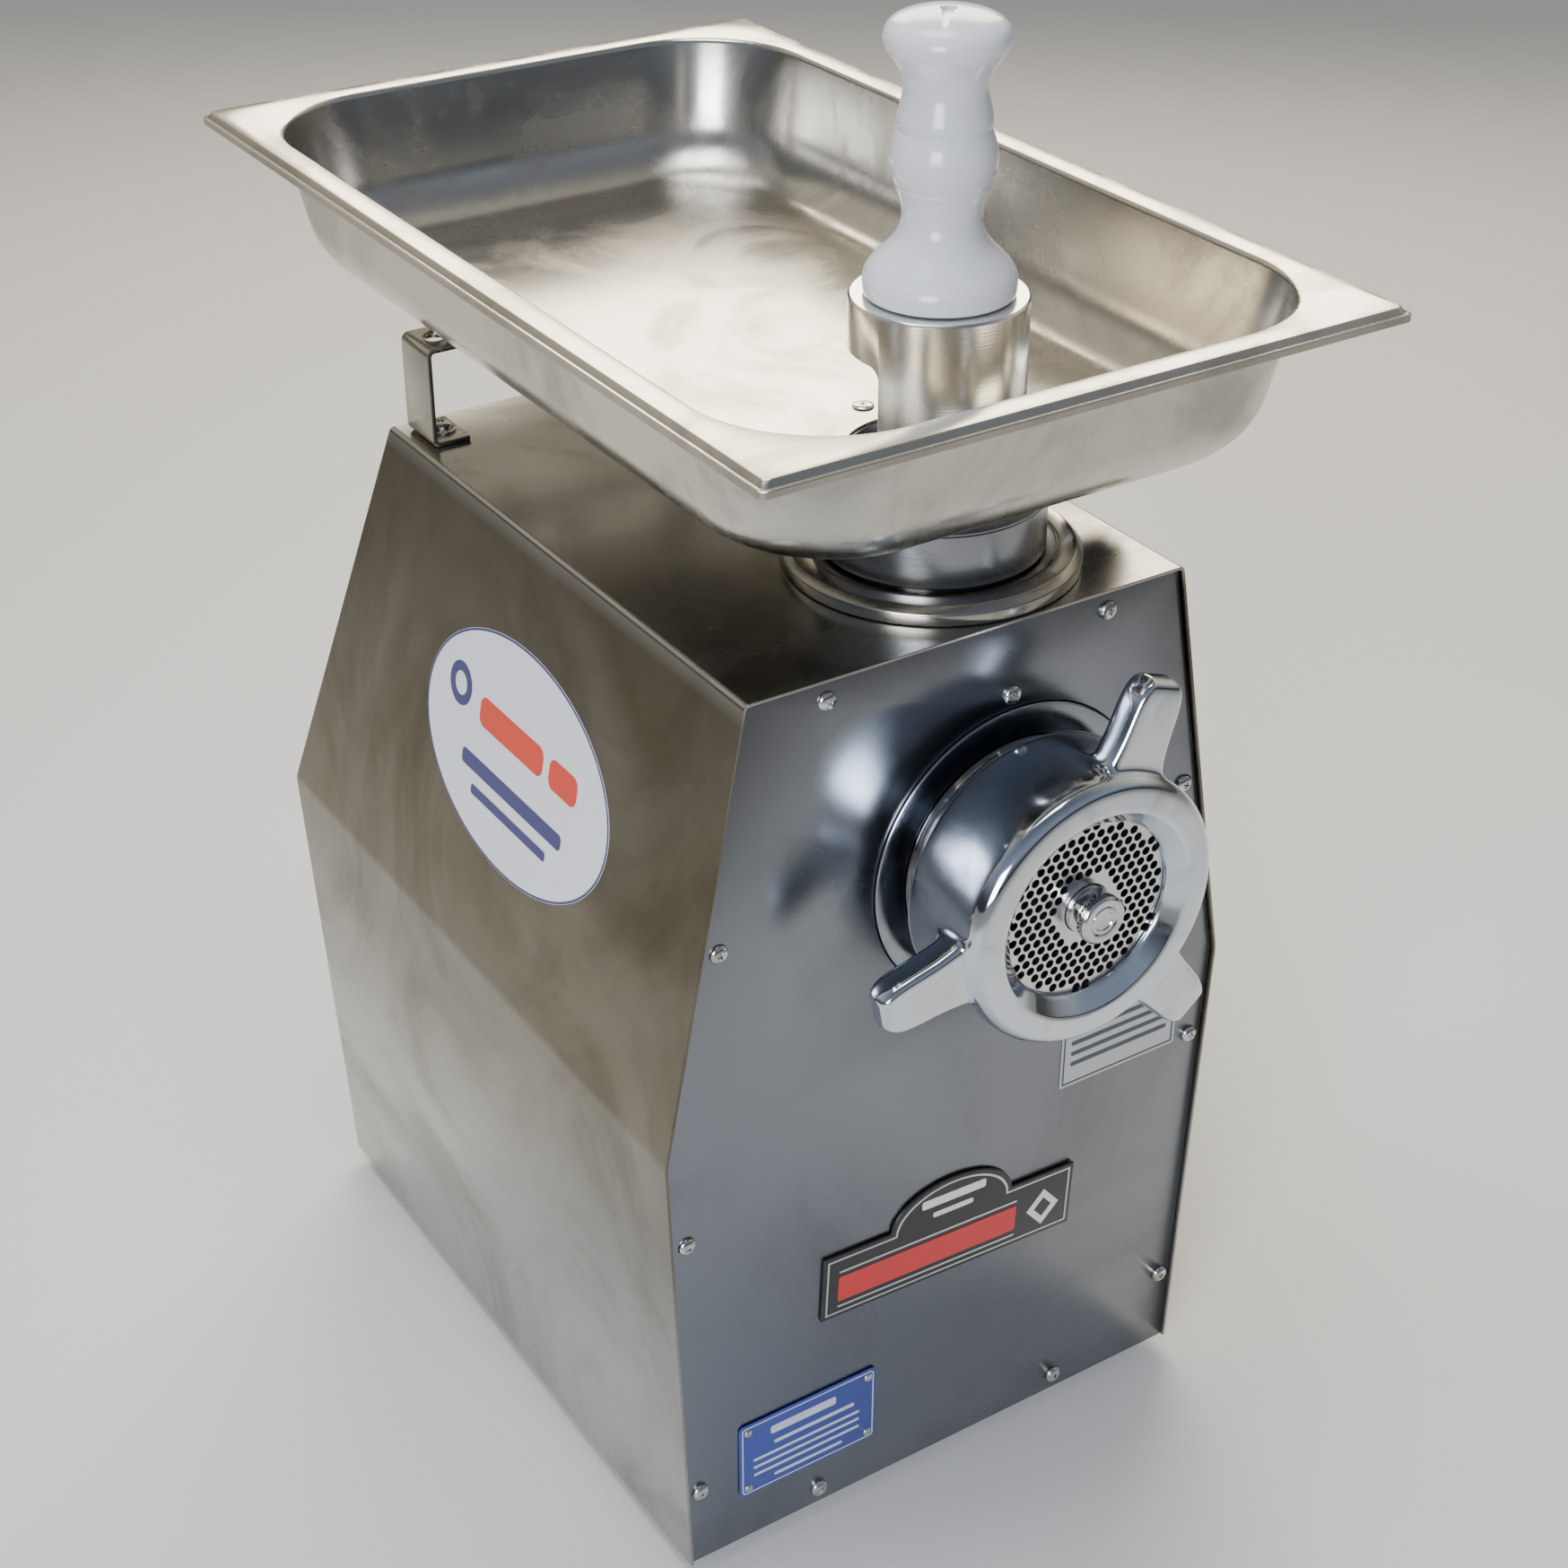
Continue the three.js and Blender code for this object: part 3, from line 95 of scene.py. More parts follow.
def node(tree, kind, sockets=None, **settings):
    """A shader node with its settings and the values of its sockets."""
    made = tree.nodes.new("ShaderNode" + kind)
    for name, value in settings.items():
        setattr(made, name, value)
    for socket, value in (sockets or {}).items():
        made.inputs[socket].default_value = value
    return made


def link(tree, source, output, target, socket):
    tree.links.new(source.outputs[output], target.inputs[socket])


def node_group(name, inputs, outputs):
    """An empty shader node group with its sockets, and the two nodes that lead in and out."""
    tree = bpy.data.node_groups.new(name, "ShaderNodeTree")
    for socket, kind, value in inputs:
        made = tree.interface.new_socket(socket, in_out="INPUT", socket_type="NodeSocket" + kind)
        made.default_value = value
    for socket, kind in outputs:
        tree.interface.new_socket(socket, in_out="OUTPUT", socket_type="NodeSocket" + kind)
    return tree, tree.nodes.new("NodeGroupInput"), tree.nodes.new("NodeGroupOutput")


def place_group(tree, group, **values):
    made = tree.nodes.new("ShaderNodeGroup")
    made.node_tree = group
    for socket, value in values.items():
        made.inputs[socket].default_value = value
    return made


# Handling marks: soft patches where hands, water and cloths have left their traces.
handling_marks, marks_in, marks_out = node_group(
    "handling_marks",
    [("Size", "Float", 6.0), ("Swirl", "Float", 1.0), ("Cover", "Float", 0.5)],
    [("Marks", "Float")],
)
marks_place = node(handling_marks, "TexCoord")
marks_noise = node(handling_marks, "TexNoise", {"Detail": 6.0, "Roughness": 0.62})
marks_low = node(handling_marks, "Math", {0: 0.92}, operation="SUBTRACT")
marks_high = node(handling_marks, "Math", {0: 1.25}, operation="SUBTRACT")
marks_range = node(handling_marks, "MapRange", interpolation_type="SMOOTHSTEP")
link(handling_marks, marks_place, "Object", marks_noise, "Vector")
link(handling_marks, marks_in, "Size", marks_noise, "Scale")
link(handling_marks, marks_in, "Swirl", marks_noise, "Distortion")
link(handling_marks, marks_in, "Cover", marks_low, 1)
link(handling_marks, marks_in, "Cover", marks_high, 1)
link(handling_marks, marks_noise, "Fac", marks_range, "Value")
link(handling_marks, marks_low, "Value", marks_range, "From Min")
link(handling_marks, marks_high, "Value", marks_range, "From Max")
link(handling_marks, marks_range, "Result", marks_out, "Marks")


def material(name, metallic=0.0, roughness=0.5):
    """A new material, its node tree and its Principled node."""
    made = bpy.data.materials.new(name)
    made.use_nodes = True
    shader = made.node_tree.nodes["Principled BSDF"]
    shader.inputs["Metallic"].default_value = metallic
    shader.inputs["Roughness"].default_value = roughness
    return made, made.node_tree, shader


def two_tone(tree, shader, mask, output, first, second):
    """The base colour runs from the first colour to the second with the mask."""
    tones = node(tree, "Mix", data_type="RGBA")
    tones.inputs["A"].default_value = (*first, 1)
    tones.inputs["B"].default_value = (*second, 1)
    tree.links.new(mask.outputs[output], tones.inputs["Factor"])
    tree.links.new(tones.outputs["Result"], shader.inputs["Base Color"])
    return tones


def varied_roughness(tree, shader, mask, output, smooth, rough):
    spread = node(tree, "MapRange", {"To Min": smooth, "To Max": rough})
    tree.links.new(mask.outputs[output], spread.inputs["Value"])
    tree.links.new(spread.outputs["Result"], shader.inputs["Roughness"])


def relief(tree, shader, mask, output, strength, depth):
    """The mask stands up from the surface by this depth, in metres."""
    bump = node(tree, "Bump", {"Strength": strength, "Distance": depth})
    tree.links.new(mask.outputs[output], bump.inputs["Height"])
    tree.links.new(bump.outputs["Normal"], shader.inputs["Normal"])
    return bump


def moulded(name, colour, dusty, roughness, grain_size, depth):
    """Moulded rubber or plastic: a fine even grain, with paler dust in patches."""
    made, tree, shader = material(name)
    dust = place_group(tree, handling_marks, Size=22.0, Swirl=0.6, Cover=0.45)
    two_tone(tree, shader, dust, "Marks", colour, dusty)
    varied_roughness(tree, shader, dust, "Marks", roughness, min(roughness + 0.18, 1.0))
    where = node(tree, "TexCoord")
    grain = node(tree, "TexNoise", {"Scale": grain_size, "Detail": 3.0})
    link(tree, where, "Object", grain, "Vector")
    relief(tree, shader, grain, "Fac", 0.35, depth)
    return made


rubber = moulded("rubber", (0.022, 0.022, 0.023), (0.075, 0.073, 0.07), 0.78, 900.0, 0.0003)


def turn(name, outline, centre, axis="Z", sides=96):
    """A turned part: a circle is drawn out from each (radius, height) of its outline to the next, in
    millimetres from the centre. The ends are filled unless the outline comes back to its start."""
    bpy.ops.object.select_all(action="DESELECT")
    radius, height = outline[0]
    bpy.ops.mesh.primitive_circle_add(vertices=sides, radius=radius * MM, location=(0, 0, height * MM))
    piece = bpy.context.active_object
    piece.name = name
    piece.data.name = name
    apply_place()
    bpy.ops.object.mode_set(mode="EDIT")
    bpy.ops.mesh.select_mode(type="EDGE")
    bpy.ops.mesh.select_all(action="SELECT")
    for (near, low), (far, high) in zip(outline, outline[1:]):
        bpy.ops.mesh.extrude_edges_move(TRANSFORM_OT_translate={"value": (0, 0, (high - low) * MM)})
        ratio = far / near
        bpy.ops.transform.resize(value=(ratio, ratio, 1), center_override=(0, 0, 0))
    bpy.ops.mesh.select_all(action="SELECT")
    if outline[0] == outline[-1]:
        bpy.ops.mesh.remove_doubles(threshold=1e-6)
    else:
        bpy.ops.mesh.fill_holes(sides=0)
    finish_edit()
    turns = {"Z": (0, 0, 0), "Y": (-math.pi / 2, 0, 0), "X": (0, math.pi / 2, 0)}
    piece.rotation_euler = turns[axis]
    piece.location = centre
    apply_place()
    return piece


def only(piece):
    """The piece is the one that is selected and active."""
    bpy.ops.object.select_all(action="DESELECT")
    piece.select_set(True)
    bpy.context.view_layer.objects.active = piece


def apply_modifier(piece, kind, **settings):
    made = piece.modifiers.new(kind.lower(), kind)
    for name, value in settings.items():
        setattr(made, name, value)
    only(piece)
    bpy.ops.object.modifier_apply(modifier=made.name)


def ease(piece, width, segments=3, angle=30, shade=35):
    """Rounds the edges that are sharper than the angle, and shades the rest smoothly."""
    apply_modifier(
        piece, "BEVEL", width=width * MM, segments=segments, limit_method="ANGLE",
        angle_limit=math.radians(angle), harden_normals=False,
    )
    bpy.ops.object.shade_smooth_by_angle(angle=math.radians(shade))


def settle(piece, body, finish, slot, *nodes):
    """Gives a piece its finish, the body that it moves with, and the nodes it stands for, which are hidden.
    The slot is not used.
    """
    piece.data.materials.clear()
    piece.data.materials.append(finish)
    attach(piece, body)
    if nodes:
        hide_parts(*nodes)


def middle(name):
    low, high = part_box(name)
    return (low + high) / 2


for corner in ("front_left", "front_right", "rear_left", "rear_right"):
    node_name = "foot_" + corner
    foot_low, foot_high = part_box(node_name)
    spot = middle(node_name)
    outer = (foot_high.x - foot_low.x) / 2 / MM
    height = (foot_high.z - foot_low.z) / MM
    foot = turn(
        "rubber_" + node_name,
        [(3, 2.5), (7, 2.5), (8.5, 0), (outer - 2.5, 0), (outer, height - 1), (outer, height)],
        (spot.x, spot.y, foot_low.z), sides=48,
    )
    ease(foot, 0.7)
    settle(foot, "machine", rubber, "rubber", node_name)

# --- Drive inside the housing ---------------------------------------------------------------------------
# Motor, belt, gearbox and the frame that carries them: painted castings, turned steel shafts and bought
# bearings. They are shut in by the housing, so they keep their plain shapes and get their own finishes.

# Rolled grain: fine parallel lines, drawn out along one direction by unequal stretching.
rolled_grain, grain_in, grain_out = node_group(
    "rolled_grain", [("Stretch", "Vector", (40.0, 40.0, 2000.0))], [("Grain", "Float")]
)
grain_place = node(rolled_grain, "TexCoord")
grain_stretch = node(rolled_grain, "Mapping")
grain_noise = node(rolled_grain, "TexNoise", {"Scale": 1.0, "Detail": 4.0, "Roughness": 0.6})
link(rolled_grain, grain_place, "Object", grain_stretch, "Vector")
link(rolled_grain, grain_in, "Stretch", grain_stretch, "Scale")
link(rolled_grain, grain_stretch, "Vector", grain_noise, "Vector")
link(rolled_grain, grain_noise, "Fac", grain_out, "Grain")

# Turned lines: rings round an axis on a flat face, and lines round the piece on its outside.
turned_lines, lines_in, lines_out = node_group(
    "turned_lines",
    [("Centre", "Vector", (0, 0, 0)), ("Axis", "Vector", (0, 0, 1)), ("Fineness", "Float", 1500.0)],
    [("Lines", "Float")],
)
lines_place = node(turned_lines, "TexCoord")
lines_from = node(turned_lines, "VectorMath", operation="SUBTRACT")
lines_along = node(turned_lines, "VectorMath", operation="DOT_PRODUCT")
lines_shadow = node(turned_lines, "VectorMath", operation="SCALE")
lines_across = node(turned_lines, "VectorMath", operation="SUBTRACT")
lines_radius = node(turned_lines, "VectorMath", operation="LENGTH")
lines_sum = node(turned_lines, "Math", operation="ADD")
lines_fine = node(turned_lines, "Math", operation="MULTIPLY")
lines_noise = node(turned_lines, "TexNoise", {"Scale": 1.0, "Detail": 2.0}, noise_dimensions="1D")
link(turned_lines, lines_place, "Object", lines_from, 0)
link(turned_lines, lines_in, "Centre", lines_from, 1)
link(turned_lines, lines_from, "Vector", lines_along, 0)
link(turned_lines, lines_in, "Axis", lines_along, 1)
link(turned_lines, lines_in, "Axis", lines_shadow, 0)
link(turned_lines, lines_along, "Value", lines_shadow, "Scale")
link(turned_lines, lines_from, "Vector", lines_across, 0)
link(turned_lines, lines_shadow, "Vector", lines_across, 1)
link(turned_lines, lines_across, "Vector", lines_radius, 0)
link(turned_lines, lines_radius, "Value", lines_sum, 0)
link(turned_lines, lines_along, "Value", lines_sum, 1)
link(turned_lines, lines_sum, "Value", lines_fine, 0)
link(turned_lines, lines_in, "Fineness", lines_fine, 1)
link(turned_lines, lines_fine, "Value", lines_noise, "W")
link(turned_lines, lines_noise, "Fac", lines_out, "Lines")


def painted_casting(name, paint, rubbed, roughness):
    """Sand casting under enamel: a coarse skin, with the paint rubbed duller in patches."""
    made, tree, shader = material(name, metallic=0.2)
    rubbing = place_group(tree, handling_marks, Size=14.0, Swirl=0.4, Cover=0.4)
    two_tone(tree, shader, rubbing, "Marks", paint, rubbed)
    varied_roughness(tree, shader, rubbing, "Marks", roughness, roughness + 0.2)
    where = node(tree, "TexCoord")
    skin = node(tree, "TexNoise", {"Scale": 420.0, "Detail": 4.0})
    link(tree, where, "Object", skin, "Vector")
    relief(tree, shader, skin, "Fac", 0.5, 0.0006)
    return made


def turned_metal(name, centre, axis, bright, dull, smooth, rough, fineness=1500.0, strength=0.25):
    """Metal from the lathe: its lines run round the piece, and its tone changes with them."""
    made, tree, shader = material(name, metallic=1.0)
    lines = place_group(tree, turned_lines, Centre=centre, Axis=axis, Fineness=fineness)
    stains = place_group(tree, handling_marks, Size=18.0, Swirl=1.4, Cover=0.42)
    two_tone(tree, shader, stains, "Marks", bright, dull)
    varied_roughness(tree, shader, stains, "Marks", smooth, rough)
    relief(tree, shader, lines, "Lines", strength, 0.00012)
    return made


SPINDLE = (0.0, 1.0, 0.0)
UPWARDS = (0.0, 0.0, 1.0)
ACROSS = (1.0, 0.0, 0.0)
pivots = {joint["name"]: Vector(joint["pos_m"]) for joint in frame["joints"] if "pos_m" in joint}
cast_enamel = painted_casting("cast_enamel", (0.07, 0.08, 0.09), (0.14, 0.14, 0.14), 0.45)
frame_paint = painted_casting("frame_paint", (0.045, 0.07, 0.1), (0.1, 0.12, 0.14), 0.4)
inner_black = moulded("inner_black", (0.018, 0.018, 0.02), (0.06, 0.06, 0.06), 0.45, 700.0, 0.0002)
motor_shell = turned_metal(
    "motor_shell", pivots["motor_spin"], SPINDLE, (0.62, 0.63, 0.64), (0.42, 0.42, 0.42), 0.35, 0.5
)
motor_steel = turned_metal(
    "motor_steel", pivots["motor_spin"], SPINDLE, (0.5, 0.5, 0.51), (0.32, 0.31, 0.3), 0.25, 0.45
)
shaft_steel = turned_metal(
    "shaft_steel", pivots["layshaft_spin"], SPINDLE, (0.5, 0.5, 0.51), (0.3, 0.29, 0.27), 0.2, 0.45
)
head_steel = turned_metal(
    "head_steel", pivots["feed_spin"], SPINDLE, (0.52, 0.53, 0.54), (0.34, 0.33, 0.31), 0.18, 0.4
)
inner_finishes = {
    frame_paint: ["chassis_frame", "fan_cowl"],
    cast_enamel: [
        "motor_cradle", "driven_pulley", "motor_pulley", "gearbox_case", "gearbox_cover",
        "rear_bearing_block",
    ],
    inner_black: ["cooling_fan", "run_capacitor", "contactor_box"],
    rubber: ["drive_belt", "shaft_seal"],
    motor_shell: ["motor_stator", "motor_bell_front", "motor_bell_rear"],
    motor_steel: ["motor_bearing_front", "motor_bearing_rear", "rotor_shaft", "rotor_core"],
    shaft_steel: ["pinion_shaft", "pinion_bearing_front", "pinion_bearing_rear"],
    head_steel: ["output_gear", "output_shaft", "output_bearing_front", "output_bearing_rear", "knife"],
}
for finish, names in inner_finishes.items():
    for name in names:
        frame["nodes"][name].material_slots[0].material = finish

# --- Housing wrapper ------------------------------------------------------------------------------------
# One long strip of 1.5 mm stainless sheet, bent over a brake into both sides and the top. Its sides lean
# out to a knee and in again above it. Its front edge stands a little proud of the front panel.

shell_low, shell_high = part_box("housing_wrap")
shell_middle = (shell_low + shell_high) / 2
shell_corners = [vertex.co for vertex in frame["nodes"]["housing_wrap"].data.vertices]
knee_z = max(shell_corners, key=lambda corner: corner.x).z
top_row = [corner for corner in shell_corners if corner.z > shell_high.z - 0.1 * MM]
base_row = [corner for corner in shell_corners if corner.z < shell_low.z + 0.1 * MM]
knee_half = shell_high.x - shell_middle.x
top_half = max(corner.x for corner in top_row) - shell_middle.x
base_half = max(corner.x for corner in base_row) - shell_middle.x
top_rear = max(corner.y for corner in top_row)
base_rear = max(corner.y for corner in base_row)


def brushed_sheet(name, bright, stained, stretch, smooth, rough, size, cover, swirl=1.0, line=0.12):
    """Stainless sheet: rolled grain, and stains and finger marks that dull it in patches."""
    made, tree, shader = material(name, metallic=1.0)
    grain = place_group(tree, rolled_grain, Stretch=stretch)
    stains = place_group(tree, handling_marks, Size=size, Swirl=swirl, Cover=cover)
    blotches = place_group(tree, handling_marks, Size=size * 4.3, Swirl=2.2, Cover=0.36)
    two_tone(tree, shader, stains, "Marks", bright, stained)
    both = node(tree, "Math", {1: 0.45}, operation="MULTIPLY_ADD")
    link(tree, blotches, "Marks", both, 0)
    link(tree, stains, "Marks", both, 2)
    varied_roughness(tree, shader, both, "Value", smooth, rough)
    relief(tree, shader, grain, "Grain", line, 0.0002)
    return made


wrapper_steel = brushed_sheet(
    "wrapper_steel", (0.44, 0.44, 0.43), (0.33, 0.32, 0.29), (900.0, 14.0, 900.0), 0.2, 0.42, 5.0, 0.55, 1.8
)
# Painted shade: a mottled brown darkening stands for the dark, warm reflections on the slopes. It thins out
# down the sides, and is weaker on the top.
PAINTED_SHADE_FROM, PAINTED_SHADE_FULL = 0.07, 0.24
TOP_SHADE_FROM, TOP_SHADE_FULL = 0.474, 0.483
TOP_SHADE_STRENGTH = 0.25
wrapper_tree = wrapper_steel.node_tree
wrapper_shader = wrapper_tree.nodes["Principled BSDF"]
unshaded_colour = wrapper_shader.inputs["Base Color"].links[0].from_socket
painted_shade_place = node(wrapper_tree, "TexCoord")
painted_shade_parts = node(wrapper_tree, "SeparateXYZ")
painted_shade_rise = node(
    wrapper_tree, "MapRange", {"From Min": PAINTED_SHADE_FROM, "From Max": PAINTED_SHADE_FULL}, interpolation_type="SMOOTHSTEP"
)
painted_shade_top = node(wrapper_tree, "MapRange", {
    "From Min": TOP_SHADE_FROM, "From Max": TOP_SHADE_FULL, "To Min": 1.0, "To Max": TOP_SHADE_STRENGTH,
})
painted_shade_side = node(wrapper_tree, "Math", operation="MULTIPLY")
painted_shade_cloud = node(wrapper_tree, "TexNoise", {"Scale": 6.0, "Detail": 5.0, "Distortion": 1.5})
painted_shade_depth = node(wrapper_tree, "MapRange", {"From Min": 0.3, "From Max": 0.7, "To Min": 0.72, "To Max": 1.0})
painted_shade_mask = node(wrapper_tree, "Math", operation="MULTIPLY")
# The painted shade's brown is multiplied into the sheet's own colour, more strongly higher up the sides.
painted_shade_tone = node(wrapper_tree, "Mix", data_type="RGBA", blend_type="MULTIPLY")
painted_shade_tone.inputs["B"].default_value = (0.3, 0.26, 0.175, 1)
link(wrapper_tree, painted_shade_place, "Object", painted_shade_parts, "Vector")
link(wrapper_tree, painted_shade_place, "Object", painted_shade_cloud, "Vector")
link(wrapper_tree, painted_shade_parts, "Z", painted_shade_rise, "Value")
link(wrapper_tree, painted_shade_cloud, 0, painted_shade_depth, "Value")
link(wrapper_tree, painted_shade_parts, "Z", painted_shade_top, "Value")
link(wrapper_tree, painted_shade_rise, "Result", painted_shade_side, 0)
link(wrapper_tree, painted_shade_top, "Result", painted_shade_side, 1)
link(wrapper_tree, painted_shade_side, "Value", painted_shade_mask, 0)
link(wrapper_tree, painted_shade_depth, "Result", painted_shade_mask, 1)
link(wrapper_tree, painted_shade_mask, "Value", painted_shade_tone, "Factor")
wrapper_tree.links.new(unshaded_colour, painted_shade_tone.inputs["A"])
link(wrapper_tree, painted_shade_tone, "Result", wrapper_shader, "Base Color")


def pick(piece, wanted, kind="VERT"):
    """In edit mode, selects the corners, edges or faces that pass the test."""
    bpy.ops.mesh.select_mode(type=kind)
    bpy.ops.mesh.select_all(action="DESELECT")
    mesh = bmesh.from_edit_mesh(piece.data)
    for item in {"VERT": mesh.verts, "EDGE": mesh.edges, "FACE": mesh.faces}[kind]:
        item.select = wanted(item)
    mesh.select_flush_mode()
    bmesh.update_edit_mesh(piece.data)


def block(name, size, spot):
    """A box of this size about the spot, in metres."""
    bpy.ops.object.select_all(action="DESELECT")
    bpy.ops.mesh.primitive_cube_add(size=1)
    piece = bpy.context.active_object
    piece.name = name
    piece.data.name = name
    piece.scale = size
    piece.location = spot
    apply_place()
    return piece


def tapered_block(name, inset, front):
    """A block as wide as the housing less the inset: it's halved at the knee, then its top and bottom are
    drawn in, and the back of each is brought forward to the housing's lean."""
    low_z, high_z = shell_low.z, shell_high.z - inset
    shell = block(
        name, (2 * (knee_half - inset), shell_high.y - front, high_z - low_z),
        (shell_middle.x, (shell_high.y + front) / 2, (low_z + high_z) / 2),
    )
    bpy.ops.object.mode_set(mode="EDIT")
    bpy.ops.mesh.select_all(action="SELECT")
    bpy.ops.mesh.bisect(plane_co=(0, 0, knee_z), plane_no=UPWARDS)
    ends = ((top_half, top_rear, high_z), (base_half, base_rear, low_z))
    for half, rear, level in ends:
        pick(shell, lambda vertex: abs(vertex.co.z - level) < 0.1 * MM)
        draw_in = (half - inset) / (knee_half - inset)
        bpy.ops.transform.resize(value=(draw_in, 1, 1), center_override=shell_middle)
        pick(shell, lambda vertex: abs(vertex.co.z - level) < 0.1 * MM and vertex.co.y > front + MM)
        bpy.ops.transform.translate(value=(0, rear - shell_high.y, 0))
    return shell


SHEET = 1.5
wrapper = tapered_block("housing_shell", 0, shell_low.y)
pick(wrapper, lambda face: abs(face.normal.y) > 0.7 or face.normal.z < -0.7, "FACE")
bpy.ops.mesh.delete(type="FACE")
bpy.ops.object.mode_set(mode="OBJECT")
apply_modifier(
    wrapper, "BEVEL", width=2.5 * MM, segments=5, limit_method="ANGLE", angle_limit=math.radians(8)
)
apply_modifier(wrapper, "SOLIDIFY", thickness=SHEET * MM, offset=-1, use_even_offset=True)


def cylinder(name, radius, low, high, centre, axis="Z", sides=64):
    return turn(name, [(radius, low), (radius, high)], centre, axis, sides)


def cut_away(piece, *cutters):
    """Takes the cutters' shapes out of the piece, and uses them up."""
    for cutter in cutters:
        apply_modifier(piece, "BOOLEAN", operation="DIFFERENCE", solver="EXACT", object=cutter)
        bpy.data.objects.remove(cutter)


def join_on(piece, addition):
    """Makes one solid of the piece and the addition, and uses the addition up."""
    apply_modifier(piece, "BOOLEAN", operation="UNION", solver="EXACT", object=addition)
    bpy.data.objects.remove(addition)


collar_spot = middle("top_collar")
cut_away(wrapper, cylinder("throat_cut", 58, -20, 20, (collar_spot.x, collar_spot.y, shell_high.z)))
ease(wrapper, 0.25, segments=2, angle=60, shade=20)
settle(wrapper, "machine", wrapper_steel, "stainless", "housing_wrap")

# --- Front and rear panels ------------------------------------------------------------------------------
# Flat stainless plates that sit just inside the wrapper, each held by pan-head screws. The front one is
# bored for the grinding head. The rear one follows the wrapper's lean and has slots for the motor's air.

front_steel = brushed_sheet(
    "front_steel", (0.22, 0.235, 0.265), (0.165, 0.175, 0.195), (14.0, 900.0, 900.0), 0.22, 0.4, 4.0, 0.5, 1.2
)
PANEL_GAP = 1.8
PANEL_INSET = 2
head_axis = pivots["feed_spin"]
front_low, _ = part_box("front_panel")
front = tapered_block("front_plate", PANEL_GAP * MM, front_low.y)
pick(front, lambda face: face.normal.y > -0.7, "FACE")
bpy.ops.mesh.delete(type="FACE")
bpy.ops.object.mode_set(mode="OBJECT")
apply_modifier(front, "SOLIDIFY", thickness=SHEET * MM, offset=-1)
hub_low, hub_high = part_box("head_hub")
hub_radius = (hub_high.x - hub_low.x) / 2 / MM
hub_cut = cylinder("hub_cut", hub_radius + 0.5, -20, 20, (head_axis.x, shell_low.y, head_axis.z), "Y", 128)
cut_away(front, hub_cut)
ease(front, 0.3, segments=2, angle=50)
settle(front, "machine", front_steel, "stainless", "front_panel")

rear = tapered_block("rear_plate", PANEL_GAP * MM, shell_low.y)
pick(rear, lambda face: face.normal.y < 0.7, "FACE")
bpy.ops.mesh.delete(type="FACE")
bpy.ops.mesh.select_all(action="SELECT")
bpy.ops.transform.translate(value=(0, -PANEL_INSET * MM, 0))
bpy.ops.object.mode_set(mode="OBJECT")
apply_modifier(rear, "BEVEL", width=3 * MM, segments=4, limit_method="ANGLE", angle_limit=math.radians(8))
apply_modifier(rear, "SOLIDIFY", thickness=SHEET * MM, offset=-1)
VENT_ROWS = 6
VENT_PITCH = 15
VENT_WIDTH, VENT_HEIGHT = 110, 5
HOOD_DEPTH, HOOD_SHEET = 5, 1.2
vent_low = shell_low.z + 130 * MM
for row in range(VENT_ROWS):
    slot_cut = block(
        "slot_cut", (VENT_WIDTH * MM, 60 * MM, VENT_HEIGHT * MM),
        (shell_middle.x, shell_high.y, vent_low + (row * VENT_PITCH + 2.5) * MM),
    )
    apply_modifier(slot_cut, "BEVEL", width=2.3 * MM, segments=3, limit_method="ANGLE", angle_limit=1)
    cut_away(rear, slot_cut)
gland_spot = middle("cable_gland")
cut_away(rear, cylinder("gland_cut", 9.7, -30, 30, (gland_spot.x, gland_spot.y, gland_spot.z), "Y"))
ease(rear, 0.2, segments=2, angle=50)
settle(rear, "machine", front_steel, "stainless", "rear_panel")


def rear_wall(level):
    """How far back the rear panel stands at this height, and its angle from upright there."""
    end_y, end_z = (top_rear, shell_high.z) if level > knee_z else (base_rear, shell_low.z)
    slope = (shell_high.y - end_y) / abs(end_z - knee_z)
    wall_y = shell_high.y - abs(level - knee_z) * slope - PANEL_INSET * MM
    return wall_y, math.copysign(math.atan(slope), level - knee_z)


# Vent hoods: a pressed lip over each slot sheds drips.
for row in range(VENT_ROWS):
    height = vent_low + (row * VENT_PITCH + 5.6) * MM
    wall_y, _ = rear_wall(height)
    hood = block(
        f"vent_hood_{row + 1}", ((VENT_WIDTH + 2) * MM, HOOD_DEPTH * MM, HOOD_SHEET * MM),
        (shell_middle.x, wall_y + 2 * MM, height),
    )
    bpy.ops.object.mode_set(mode="EDIT")
    pick(hood, lambda vertex: vertex.co.y > wall_y + MM)
    bpy.ops.transform.translate(value=(0, 0, -3 * MM))
    bpy.ops.object.mode_set(mode="OBJECT")
    ease(hood, 0.4, segments=2)
    settle(hood, "machine", front_steel, "stainless")

screw_steel, screw_tree, screw_shader = material("screw_steel", metallic=1.0)
screw_marks = place_group(screw_tree, handling_marks, Size=160.0, Swirl=0.5, Cover=0.5)
two_tone(screw_tree, screw_shader, screw_marks, "Marks", (0.66, 0.66, 0.66), (0.3, 0.29, 0.27))
varied_roughness(screw_tree, screw_shader, screw_marks, "Marks", 0.16, 0.4)


def cross_screw(name, outline, recess, depth):
    """A cross-recess screw head about the Z axis, with its seat at the origin."""
    head = turn(name, outline, (0, 0, 0), sides=32)
    top = max(height for _, height in outline)
    for wide, narrow in ((recess, recess / 4), (recess / 4, recess)):
        cut_away(head, block("blade", (wide * MM, narrow * MM, 2 * depth * MM), (0, 0, top * MM)))
    ease(head, 0.12, segments=2, angle=40)
    return head


